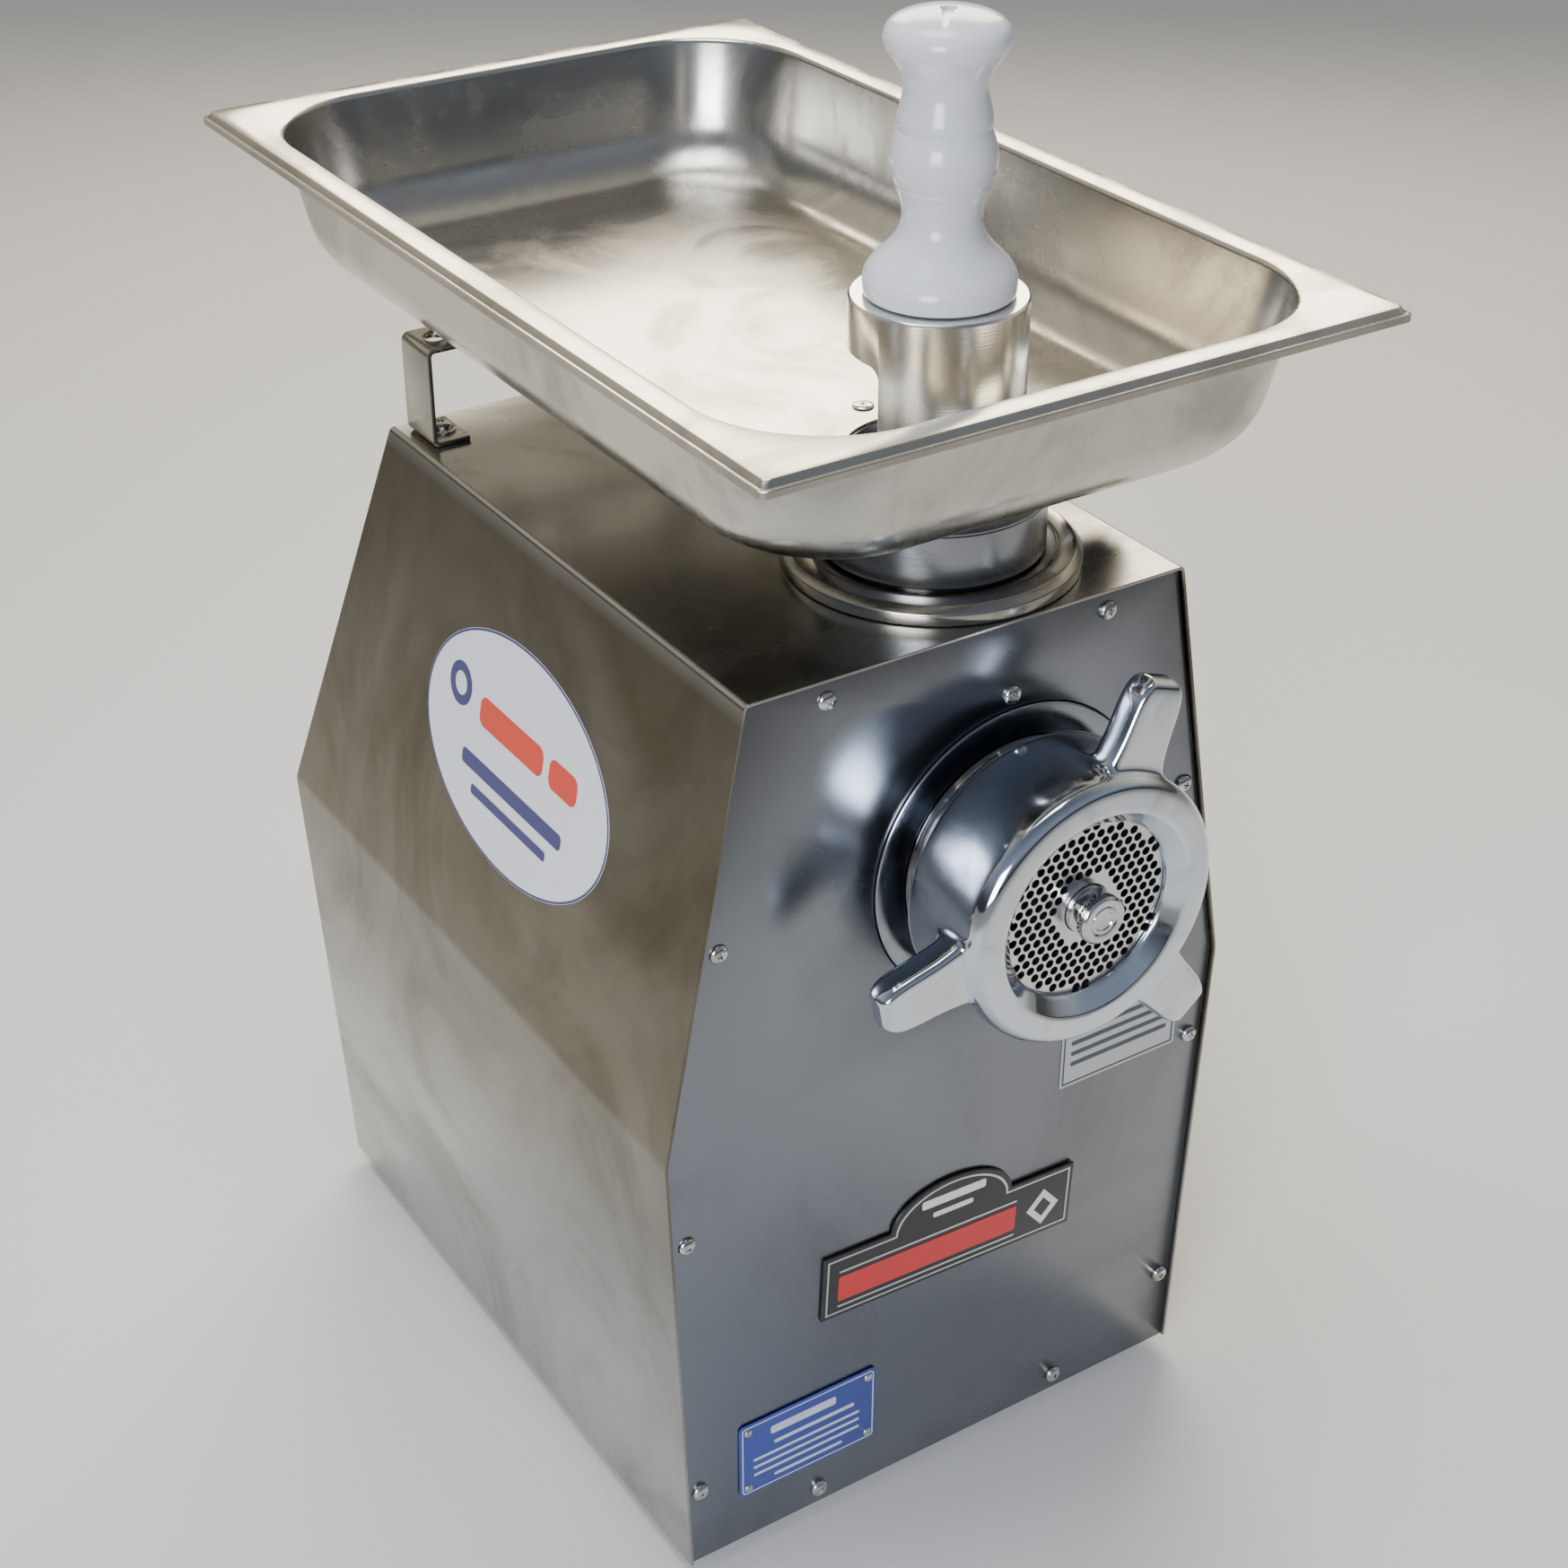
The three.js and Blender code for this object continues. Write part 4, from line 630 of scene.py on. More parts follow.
def set_screw(pattern, name, spot, tilt, body, *nodes):
    """A copy of the pattern screw, turned by (x, y, z) angles and put in its place."""
    screw = pattern.copy()
    screw.data = pattern.data.copy()
    screw.name = name
    screw.data.name = name
    bpy.context.scene.collection.objects.link(screw)
    screw.rotation_euler = tilt
    screw.location = spot
    only(screw)
    apply_place()
    settle(screw, body, screw_steel, "steel", *nodes)
    return screw


PAN_HEAD = [(4.6, 0), (4.6, 0.5), (4.3, 1.4), (3.5, 2.1), (2.2, 2.6), (0.8, 2.75)]
pan_head = cross_screw("pan_head", PAN_HEAD, 3.6, 1.3)
FRONT_SCREWS = [
    (-74, 465), (74, 465), (23, 438), (-128, 358), (128, 358), (-147, 204), (147, 204),
    (-143, 46), (143, 46), (-74, 9.5), (74, 9.5),
]
for count, (aside, height) in enumerate(FRONT_SCREWS, 1):
    spot = (shell_middle.x + aside * MM, front_low.y, shell_low.z + height * MM)
    set_screw(pan_head, f"front_screw_{count}", spot, (math.pi / 2, count * 0.7, 0), "machine")
REAR_SCREWS = [
    (-135, 30), (135, 30), (-140, 150), (140, 150), (-143, 235), (143, 235), (-118, 380), (118, 380),
    (-60, 462), (60, 462),
]
for count, (aside, height) in enumerate(REAR_SCREWS, 1):
    level = shell_low.z + height * MM
    wall_y, tip = rear_wall(level)
    spot = (shell_middle.x + aside * MM, wall_y, level)
    set_screw(pan_head, f"rear_screw_{count}", spot, (-math.pi / 2 + tip, 0, 0), "machine")
bpy.data.objects.remove(pan_head)

# --- Cable gland ----------------------------------------------------------------------------------------
# A black nylon gland with a hexagon nut at the back, low on the rear panel, where the mains lead goes in.

_, gland_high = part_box("cable_gland")
gland_black = moulded("gland_black", (0.02, 0.02, 0.022), (0.07, 0.07, 0.07), 0.42, 800.0, 0.00015)
gland_out = (gland_high.y - gland_spot.y) / MM
gland = turn(
    "gland_sleeve",
    [
        (3.5, -12), (9.4, -12), (9.4, gland_out - 16), (12.9, gland_out - 16), (12.9, gland_out - 9),
        (11.2, gland_out - 8), (10.8, gland_out - 1.5), (9, gland_out), (5, gland_out),
        (3.5, gland_out - 1.5), (3.5, -12),
    ],
    gland_spot, "Y", 48,
)
ease(gland, 0.4, segments=2)
settle(gland, "machine", gland_black, "black_plastic", "cable_gland")

# --- Grinding head --------------------------------------------------------------------------------------
# A machined flange lies flush in the front panel. Through it comes the cast barrel, mirror-polished by hand,
# with a thread at its front end. The throat tube stands in the barrel and leaves the housing at the top.

head_front = Vector((head_axis.x, shell_low.y, head_axis.z))
flange_steel = turned_metal(
    "flange_steel", head_front, SPINDLE, (0.3, 0.33, 0.37), (0.21, 0.23, 0.26), 0.16, 0.34, 2600.0
)
HUB_BORE, HUB_TUBE, HUB_REAR = 55.3, 63, 131.7
hub = turn(
    "head_flange",
    [
        (HUB_BORE, 0.6), (hub_radius - 0.6, 0.6), (hub_radius, 1.2), (hub_radius, 7), (HUB_TUBE, 7),
        (HUB_TUBE, HUB_REAR), (HUB_BORE, HUB_REAR), (HUB_BORE, 0.6),
    ],
    head_front, "Y", 160,
)
cut_away(hub, cylinder("port_cut", 45, 0, 90, (collar_spot.x, collar_spot.y, head_axis.z)))
ease(hub, 0.3, segments=2)
settle(hub, "machine", flange_steel, "steel", "head_hub")


def mirror_polish(name, bright, shadow, smooth, rough, wave_size, wave_depth):
    """Steel polished by hand: it mirrors the room, a little wavy, with fine haze where it's been wiped."""
    made, tree, shader = material(name, metallic=1.0)
    haze = place_group(tree, handling_marks, Size=26.0, Swirl=1.6, Cover=0.46)
    two_tone(tree, shader, haze, "Marks", bright, shadow)
    varied_roughness(tree, shader, haze, "Marks", smooth, rough)
    where = node(tree, "TexCoord")
    waves = node(tree, "TexNoise", {"Scale": wave_size, "Detail": 1.5, "Roughness": 0.4})
    link(tree, where, "Object", waves, "Vector")
    relief(tree, shader, waves, "Fac", 0.6, wave_depth)
    return made


barrel_polish = mirror_polish(
    "barrel_polish", (0.3, 0.31, 0.32), (0.2, 0.2, 0.2), 0.07, 0.16, 38.0, 0.0004
)
barrel_low, barrel_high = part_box("head_barrel")
barrel_front = (barrel_low.y - shell_low.y) / MM
barrel_rear = (barrel_high.y - shell_low.y) / MM
THREAD_TOP, THREAD_ROOT, THREAD_PITCH = 56, 54.4, 4
BARREL_RADIUS, BARREL_BORE = 55, 45
SEAT_RADIUS, SEAT_REAR = 49.3, -43.6
SHAFT_BORE, REAR_WALL = 14.3, 10
thread = []
for ridge in range(7):
    crest = barrel_front + 3 + ridge * THREAD_PITCH
    thread += [(THREAD_ROOT, crest - 1.6), (THREAD_TOP, crest - 0.4), (THREAD_TOP, crest + 0.4)]
barrel = turn(
    "head_barrel_casting",
    [
        (SEAT_RADIUS, barrel_front), (THREAD_ROOT, barrel_front), *thread, (THREAD_ROOT, -19),
        (55.4, -17.5), (55.6, -9), (56.0, -5), (56.9, -2), (58, 0.1), (BARREL_RADIUS, 0.3),
        (BARREL_RADIUS, barrel_rear), (SHAFT_BORE, barrel_rear), (SHAFT_BORE, barrel_rear - REAR_WALL),
        (BARREL_BORE, barrel_rear - REAR_WALL), (BARREL_BORE, SEAT_REAR), (SEAT_RADIUS, SEAT_REAR),
        (SEAT_RADIUS, barrel_front),
    ],
    head_front, "Y", 128,
)
cut_away(barrel, cylinder("port_cut", 41, 10, 90, (collar_spot.x, collar_spot.y, head_axis.z)))
ease(barrel, 0.25, segments=2, angle=35, shade=28)
settle(barrel, "machine", barrel_polish, "polished_steel", "head_barrel")

throat_low, throat_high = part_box("throat_tube")
throat_base = (throat_low.z - head_axis.z) / MM
throat_top = (throat_high.z - head_axis.z) / MM
throat_axis = Vector((collar_spot.x, collar_spot.y, head_axis.z))
throat_polish = turned_metal(
    "throat_polish", throat_axis, UPWARDS, (0.6, 0.6, 0.58), (0.42, 0.4, 0.36), 0.12, 0.3
)
THROAT_BORE, THROAT_NECK, THROAT_RADIUS, SHOULDER = 36, 40.6, 44, 57
throat = turn(
    "throat_casting",
    [
        (THROAT_BORE, throat_base), (THROAT_NECK, throat_base), (THROAT_NECK, SHOULDER),
        (THROAT_RADIUS, SHOULDER), (THROAT_RADIUS, throat_top - 0.5), (THROAT_RADIUS - 0.5, throat_top),
        (THROAT_BORE + 0.5, throat_top), (THROAT_BORE, throat_top - 0.5), (THROAT_BORE, throat_base),
    ],
    throat_axis, "Z", 96,
)
ease(throat, 0.3, segments=2)
settle(throat, "machine", throat_polish, "polished_steel", "throat_tube")

# --- Top collar -----------------------------------------------------------------------------------------
# A broad polished ring closes the hole in the top sheet round the throat. Its upper edge is chamfered.

collar_low, collar_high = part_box("top_collar")
COLLAR_BORE = 44.3
collar_radius = (collar_high.x - collar_low.x) / 2 / MM
collar_height = (collar_high.z - collar_low.z) / MM
collar_polish = turned_metal(
    "collar_polish", throat_axis, UPWARDS, (0.44, 0.43, 0.39), (0.28, 0.26, 0.21), 0.18, 0.34, 1800.0, 0.15
)
collar = turn(
    "throat_collar",
    [
        (COLLAR_BORE, 0), (collar_radius, 0), (collar_radius, collar_height - 3.2),
        (collar_radius - 3.4, collar_height), (collar_radius - 11, collar_height),
        (collar_radius - 12, collar_height - 1), (collar_radius - 14.5, collar_height - 1),
        (COLLAR_BORE, collar_height - 1), (COLLAR_BORE, 0),
    ],
    (collar_spot.x, collar_spot.y, collar_low.z), "Z", 128,
)
ease(collar, 0.6, segments=3)
settle(collar, "machine", collar_polish, "polished_steel", "top_collar")

# --- Feed screw -----------------------------------------------------------------------------------------
# A cast screw whose core thickens towards the plate. A turned pin with a groove stands out of its front
# end and runs in the plate. Its square tang sits in the output shaft.

screw_polish = mirror_polish(
    "screw_polish", (0.62, 0.62, 0.62), (0.4, 0.39, 0.37), 0.12, 0.28, 60.0, 0.0003
)
screw_low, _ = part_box("feed_screw")
pin_front = (screw_low.y - shell_low.y) / MM
PIN = 11.7
SCREW_FRONT, SCREW_REAR, SCREW_LEAD, FLIGHT_RADIUS = -33.2, 112, 38, 43
core = turn(
    "feed_screw_casting",
    [
        (4.6, pin_front + 1.1), (5, pin_front + 0.4), (6.3, pin_front + 0.4), (6.8, pin_front + 1.1),
        (7.6, pin_front + 0.2), (PIN - 1.2, pin_front), (PIN, pin_front + 1.2), (PIN, pin_front + 5),
        (PIN - 2.8, pin_front + 6), (PIN - 2.8, pin_front + 9), (PIN - 0.2, pin_front + 10),
        (PIN - 0.2, -44), (9, -44), (9, SCREW_FRONT), (25, SCREW_FRONT), (17, SCREW_REAR),
        (14, SCREW_REAR), (14, barrel_rear + 0.5),
    ],
    head_front, "Y", 64,
)
# The flight starts as a flat strip on the core and is wound round it.
bpy.ops.object.select_all(action="DESELECT")
bpy.ops.mesh.primitive_plane_add(size=1)
flight = bpy.context.active_object
flight.scale = (FLIGHT_RADIUS * MM - 12 * MM, 5.5 * MM, 1)
flight.rotation_euler = (math.pi / 2, 0, 0)
flight.location = ((FLIGHT_RADIUS + 12) / 2 * MM, 0, 0)
apply_place()
bpy.ops.object.mode_set(mode="EDIT")
pick(flight, lambda vertex: vertex.co.x > 30 * MM)
bpy.ops.transform.resize(value=(1, 1, 0.65), center_override=(0, 0, 0))
bpy.ops.object.mode_set(mode="OBJECT")
FLIGHT_TURNS = (SCREW_REAR - SCREW_FRONT - 12) / SCREW_LEAD
apply_modifier(
    flight, "SCREW", axis="Z", angle=FLIGHT_TURNS * 2 * math.pi, screw_offset=FLIGHT_TURNS * SCREW_LEAD * MM,
    steps=180, render_steps=180, use_smooth_shade=False, use_merge_vertices=False,
)
bpy.ops.object.mode_set(mode="EDIT")
bpy.ops.mesh.select_all(action="SELECT")
bpy.ops.mesh.fill_holes(sides=0)
finish_edit()
flight.rotation_euler = (-math.pi / 2, 0, 0)
flight.location = head_front + Vector((0, (SCREW_FRONT + 4) * MM, 0))
apply_place()
join_on(core, flight)
for half_side, front_end, rear_end in ((10.5, -43.7, SCREW_FRONT + 1), (8.5, SCREW_REAR, 142)):
    square = block(
        "square", (2 * half_side * MM, (rear_end - front_end) * MM, 2 * half_side * MM),
        head_front + Vector((0, (front_end + rear_end) / 2 * MM, 0)),
    )
    apply_modifier(square, "BEVEL", width=0.8 * MM, segments=2)
    join_on(core, square)
ease(core, 0.25, segments=2, angle=40, shade=40)
settle(core, "feed_train", screw_polish, "polished_steel", "feed_screw")

# --- Cutting plate --------------------------------------------------------------------------------------
# A hardened disc 10 mm thick, drilled all over with 4 mm holes in a honeycomb, apart from a plain middle
# that runs on the pin, and a keyway in its rim.

plate_low, plate_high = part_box("cutting_plate")
plate_radius = (plate_high.x - plate_low.x) / 2 / MM
plate_spot = (plate_low + plate_high) / 2
plate_half = (plate_high.y - plate_low.y) / 2 / MM
plate_steel = turned_metal(
    "plate_steel", plate_spot, SPINDLE, (0.68, 0.68, 0.7), (0.5, 0.49, 0.48), 0.2, 0.36, 2200.0
)
HOLE_RADIUS = 2.15
HOLE_PITCH = 5.3
PLAIN_MIDDLE = 16.5
DRILLED_EDGE = 41.6
PLATE_BORE = 12
cutting_plate = turn(
    "drilled_plate",
    [
        (PLATE_BORE, -plate_half), (plate_radius, -plate_half), (plate_radius, plate_half),
        (PLATE_BORE, plate_half), (PLATE_BORE, -plate_half),
    ],
    plate_spot, "Y", 128,
)
row_height = HOLE_PITCH * math.sqrt(3) / 2
rows = int(DRILLED_EDGE / row_height) + 1
drill = cylinder("drill", HOLE_RADIUS, -plate_half - 1, plate_half + 1, plate_spot, "Y", 14)
bits = []
for row in range(-rows, rows + 1):
    for column in range(-rows - 1, rows + 2):
        aside = (column + (row % 2) / 2) * HOLE_PITCH
        up = row * row_height
        if PLAIN_MIDDLE < math.hypot(aside, up) < DRILLED_EDGE:
            bit = drill.copy()
            bit.data = drill.data.copy()
            bpy.context.scene.collection.objects.link(bit)
            bit.location = (aside * MM, 0, up * MM)
            bits.append(bit)
bpy.ops.object.select_all(action="DESELECT")
for bit in bits:
    bit.select_set(True)
bpy.context.view_layer.objects.active = bits[0]
bpy.ops.object.join()
apply_place()
bpy.data.objects.remove(drill)
keyway = cylinder(
    "keyway", 2.5, -plate_half - 1, plate_half + 1, plate_spot + Vector((0, 0, plate_radius * MM)), "Y", 24
)
cut_away(cutting_plate, bits[0], keyway)
only(cutting_plate)
bpy.ops.object.shade_smooth_by_angle(angle=math.radians(30))
settle(cutting_plate, "plate", plate_steel, "steel", "cutting_plate")

# --- Ring nut -------------------------------------------------------------------------------------------
# A cast ring with three flat lugs to turn it by. Its front opening flares, and it's polished all over. It is
# modelled as a coarse ring whose outside is drawn out into the lugs, then rounded by subdivision.

nut_low, nut_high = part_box("ring_nut")
nut_front = (nut_low.y - shell_low.y) / MM
nut_rear = (nut_high.y - shell_low.y) / MM
NUT_RADIUS = 66.5
NUT_BORE = 56.6
lug_reach = (nut_high.z - head_axis.z) / MM / math.sin(math.radians(70))
nut_polish = mirror_polish("nut_polish", (0.66, 0.71, 0.78), (0.52, 0.55, 0.6), 0.08, 0.2, 46.0, 0.0004)
NUT_SIDES = 72
ring = turn(
    "ring_nut_casting",
    [
        (NUT_BORE, nut_rear), (60, nut_rear), (62.5, nut_rear + 0.8), (65.6, nut_rear + 5),
        (NUT_RADIUS, nut_rear + 9), (NUT_RADIUS, nut_front + 23), (NUT_RADIUS, nut_front + 8),
        (65.6, nut_front + 4.2), (63, nut_front + 1.2), (60, nut_front + 0.2), (52, nut_front),
        (50.4, nut_front + 0.6), (49.2, nut_front + 1.6), (43.4, -56.4), (43, -55.6), (43, -54.3),
        (NUT_BORE, -54.3), (NUT_BORE, -50), (NUT_BORE, nut_rear + 2), (NUT_BORE, nut_rear),
    ],
    (0, 0, 0), "Y", NUT_SIDES,
)
LUG_ANGLES = (70, 190, 310)
LUG_HALF_ANGLE = 15.6
FLATTEN, LUG_THINNING = 0.45, 0.84
LUG_STEPS = ((72, 0.93), (80, 0.9), (95, 0.96), (103, 0.9), (lug_reach, 0.62))
only(ring)
bpy.ops.object.mode_set(mode="EDIT")


def off_lug(place, direction):
    """How many degrees a place lies from the lug's middle line, seen from the front."""
    angle = math.degrees(math.atan2(place.z, place.x)) - direction
    return abs((angle + 180) % 360 - 180)


for direction in LUG_ANGLES:
    def on_lug(face, direction=direction):
        place = face.calc_center_median()
        reach = math.hypot(place.x, place.z)
        in_band = (nut_front + 7) * MM < place.y < (nut_front + 24) * MM
        return in_band and reach > (NUT_RADIUS - 3) * MM and off_lug(place, direction) < LUG_HALF_ANGLE
    pick(ring, on_lug, "FACE")
    outward = Vector((math.cos(math.radians(direction)), 0, math.sin(math.radians(direction))))
    reach = NUT_RADIUS
    for step, narrowing in LUG_STEPS:
        bpy.ops.mesh.extrude_region_move(TRANSFORM_OT_translate={"value": outward * (step - reach) * MM})
        mesh = bmesh.from_edit_mesh(ring.data)
        chosen = [vertex for vertex in mesh.verts if vertex.select]
        centre = sum((vertex.co for vertex in chosen), Vector()) / len(chosen)
        side = Vector((-outward.z, 0, outward.x))
        for vertex in chosen:
            # The faces come off a round ring: each step flattens them towards a straight end.
            away = vertex.co - centre
            bulge = away.dot(outward)
            across = away.dot(side)
            vertex.co -= outward * bulge * FLATTEN
            vertex.co -= side * across * (1 - narrowing)
        bmesh.update_edit_mesh(ring.data)
        reach = step
    bpy.ops.transform.resize(value=(1, LUG_THINNING, 1), center_override=centre)
bpy.ops.object.mode_set(mode="OBJECT")
crisp = ring.data.attributes.new("crease_edge", "FLOAT", "EDGE")
for edge in ring.data.edges:
    ends = [ring.data.vertices[index].co for index in edge.vertices]
    inside = all(math.hypot(end.x, end.z) < 57 * MM for end in ends)
    round_the_axis = abs(ends[0].y - ends[1].y) < 0.01 * MM
    if inside and round_the_axis:
        crisp.data[edge.index].value = 0.85
apply_modifier(ring, "SUBSURF", levels=2, render_levels=2)
bpy.ops.object.shade_smooth_by_angle(angle=math.radians(60))
ring.location = head_front
apply_place()
settle(ring, "nut", nut_polish, "polished_steel", "ring_nut")

# --- Tray -----------------------------------------------------------------------------------------------
# A gastronorm pan pressed from stainless sheet: a stepped rim with sharp outer corners, sloping walls with
# broad round corners, and a hole in its floor over the throat.

pan_low, pan_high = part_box("tray_pan")
pan_middle = (pan_low + pan_high) / 2
pan_steel = brushed_sheet(
    "pan_steel", (0.54, 0.52, 0.47), (0.4, 0.38, 0.34), (60.0, 700.0, 700.0), 0.2, 0.36, 7.0, 0.52, 2.6, 0.1
)
PAN_WALL = 1.2
RIM_FLAT = 15
RIM_STEP = 4
MOUTH_ROUND = 62
FLOOR_ROUND = 32
ROUND_PARTS = 12
WALL_LEAN = 14
CORNER_PARTS = 13


def rounded_plate(name, half_x, half_y, corner, height):
    """A rectangle about the tray's middle with round corners, all with the same number of points."""
    bpy.ops.object.select_all(action="DESELECT")
    bpy.ops.mesh.primitive_plane_add(size=2)
    plate = bpy.context.active_object
    plate.name = name
    plate.data.name = name
    plate.scale = (half_x, half_y, 1)
    plate.location = (pan_middle.x, pan_middle.y, height)
    apply_place()
    bpy.ops.object.mode_set(mode="EDIT")
    bpy.ops.mesh.select_all(action="SELECT")
    bpy.ops.mesh.bevel(offset=corner * MM, segments=CORNER_PARTS, affect="VERTICES")
    bpy.ops.object.mode_set(mode="OBJECT")
    return plate


half_x = (pan_high.x - pan_low.x) / 2
half_y = (pan_high.y - pan_low.y) / 2
rim_outer = rounded_plate("tray", half_x - RIM_STEP * MM, half_y - RIM_STEP * MM, 4, pan_high.z)
mouth = rounded_plate("mouth", half_x - RIM_FLAT * MM, half_y - RIM_FLAT * MM, MOUTH_ROUND, pan_high.z)
bpy.ops.object.select_all(action="DESELECT")
mouth.select_set(True)
rim_outer.select_set(True)
bpy.context.view_layer.objects.active = rim_outer
bpy.ops.object.join()
tray = rim_outer
bpy.ops.object.mode_set(mode="EDIT")
bpy.ops.mesh.select_mode(type="FACE")
bpy.ops.mesh.select_all(action="SELECT")
bpy.ops.mesh.delete(type="ONLY_FACE")
bpy.ops.mesh.select_mode(type="EDGE")
bpy.ops.mesh.select_all(action="SELECT")
bpy.ops.mesh.bridge_edge_loops()


def at_edge(place):
    """A place on the rim's outer edge."""
    return abs(place.x - pan_middle.x) > half_x - 6 * MM or abs(place.y - pan_middle.y) > half_y - 6 * MM


def scale_for(grow):
    """The stretch in X and Y that moves the tray's outline out by this many millimetres."""
    return ((half_x + grow * MM) / half_x, (half_y + grow * MM) / half_y, 1)


# Out and down: the rim's step and its lip.
pick(tray, lambda vertex: at_edge(vertex.co))
for outwards, down in ((0.3, 0.1), (0.3, 0.3), (1.7, 2.3), (0.8, 0.15), (0.6, 0.2), (0.3, 0.35), (0, 2.6)):
    bpy.ops.mesh.extrude_edges_move(TRANSFORM_OT_translate={"value": (0, 0, -down * MM)})
    bpy.ops.transform.resize(value=scale_for(outwards), center_override=pan_middle)
# In and down: the mouth's small round, the leaning wall, a broad round, and a first strip of the floor.
lean = math.atan2(WALL_LEAN, (pan_high.z - pan_low.z) / MM)
steps = [(0.9, 0.3), (0.9, 0.9), (0.5, 1.3)]
turned_so_far = [lean + (math.pi / 2 - lean) * (part + 0.5) / ROUND_PARTS for part in range(ROUND_PARTS)]
chord = FLOOR_ROUND * (math.pi / 2 - lean) / ROUND_PARTS
bend = [(chord * math.sin(angle), chord * math.cos(angle)) for angle in turned_so_far]
straight = (pan_high.z - pan_low.z) / MM - PAN_WALL - 2.5 - sum(down for _, down in bend)
steps += [(straight * math.tan(lean), straight)] + bend + [(3, 0)]
pick(tray, lambda vertex: not at_edge(vertex.co))
for inwards, down in steps:
    bpy.ops.mesh.extrude_edges_move(TRANSFORM_OT_translate={"value": (0, 0, -down * MM)})
    bpy.ops.transform.resize(value=scale_for(-inwards), center_override=pan_middle)
bpy.ops.object.mode_set(mode="OBJECT")
floor_z = pan_low.z + PAN_WALL * MM
HOLE = 40
bpy.ops.object.select_all(action="DESELECT")
bpy.ops.mesh.primitive_circle_add(
    vertices=96, radius=HOLE * MM, location=(collar_spot.x, collar_spot.y, floor_z)
)
hole = bpy.context.active_object
hole.select_set(True)
tray.select_set(True)
bpy.context.view_layer.objects.active = tray
bpy.ops.object.join()
# The rest of the floor is filled in flat, round the hole.
bpy.ops.object.mode_set(mode="EDIT")
pick(
    tray, lambda edge: len(edge.link_faces) < 2
    and all(abs(vertex.co.z - floor_z) < 0.1 * MM for vertex in edge.verts), "EDGE",
)
bpy.ops.mesh.fill(use_beauty=True)
finish_edit()


def flip(piece):
    only(piece)
    bpy.ops.object.mode_set(mode="EDIT")
    bpy.ops.mesh.select_all(action="SELECT")
    bpy.ops.mesh.flip_normals()
    bpy.ops.object.mode_set(mode="OBJECT")


if sum(face.normal.z * face.area for face in tray.data.polygons) < 0:
    flip(tray)
apply_modifier(tray, "SOLIDIFY", thickness=PAN_WALL * MM, offset=-1, use_even_offset=True)
bpy.ops.object.shade_smooth_by_angle(angle=math.radians(32))
settle(tray, "tray", pan_steel, "stainless", "tray_pan")

# --- Tray sleeve ----------------------------------------------------------------------------------------
# A cast aluminium sleeve screwed under the tray. It slips over the throat tube, flares out to the tray's
# floor, and carries a boss for the clamp screw. Three countersunk screws come through the tray into it.

sleeve_low, sleeve_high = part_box("tray_sleeve")
clamp_axis = pivots["clamp_turn"]
clamp_z = clamp_axis.z
sleeve_base = Vector((collar_spot.x, collar_spot.y, sleeve_low.z))
sleeve_top = (sleeve_high.z - sleeve_low.z) / MM
guard_low, guard_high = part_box("throat_guard")
sleeve_metal = turned_metal(
    "sleeve_metal", sleeve_base, UPWARDS, (0.3, 0.31, 0.34), (0.22, 0.22, 0.24), 0.26, 0.42, 1100.0, 0.2
)
SLEEVE_RADIUS = 50.8
SLEEVE_BORE = 39.1
FLANGE_RADIUS = 65
ledge = (guard_low.z - sleeve_low.z) / MM
sleeve = turn(
    "sleeve_casting",
    [
        (SLEEVE_BORE, ledge), (COLLAR_BORE, ledge), (COLLAR_BORE, 0), (SLEEVE_RADIUS - 0.6, 0),
        (SLEEVE_RADIUS, 0.6),
        (SLEEVE_RADIUS, sleeve_top - 17), (SLEEVE_RADIUS - 0.5, sleeve_top - 16.4),
        (SLEEVE_RADIUS - 0.5, sleeve_top - 15.8), (SLEEVE_RADIUS, sleeve_top - 15.2),
        (SLEEVE_RADIUS + 0.6, sleeve_top - 12.5), (SLEEVE_RADIUS + 2.6, sleeve_top - 9.2),
        (SLEEVE_RADIUS + 6.4, sleeve_top - 6.2), (SLEEVE_RADIUS + 11, sleeve_top - 4.2),
        (FLANGE_RADIUS, sleeve_top - 3.2), (FLANGE_RADIUS, sleeve_top), (SLEEVE_BORE, sleeve_top),
        (SLEEVE_BORE, ledge),
    ],
    sleeve_base, "Z", 128,
)
boss_end = FLANGE_RADIUS - 1
boss_spot = Vector((collar_spot.x, collar_spot.y, clamp_z))
boss = turn("boss", [(9.5, 47), (9.5, boss_end - 1.5), (8.6, boss_end)], boss_spot, "X", 48)
join_on(sleeve, boss)
cut_away(sleeve, cylinder("stud_cut", 4.4, 30, boss_end + 6, boss_spot, "X", 32))
ease(sleeve, 0.35, segments=2, angle=40)
settle(sleeve, "tray", sleeve_metal, "aluminium", "tray_sleeve")

COUNTERSUNK = [(2.5, -11), (2.5, 0.1), (5, 0.1), (4.9, 0.5), (4.2, 0.95), (2.6, 1.25), (0.8, 1.3)]
flat_head = cross_screw("flat_head", COUNTERSUNK, 4.4, 1.0)
for count in (1, 2, 3):
    node_name = f"tray_screw_{count}"
    low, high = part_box(node_name)
    spot = ((low.x + high.x) / 2, (low.y + high.y) / 2, floor_z + 0.2 * MM)
    set_screw(flat_head, f"countersunk_screw_{count}", spot, (0, 0, count * 0.8), "tray", node_name)
bpy.data.objects.remove(flat_head)

# --- Throat guard ---------------------------------------------------------------------------------------
# Turned from aluminium: a ring that a hand can't pass, standing on half of its tube. The rear half is cut
# away below the ring so that the meat can be pushed in, and the cut's corners are round.

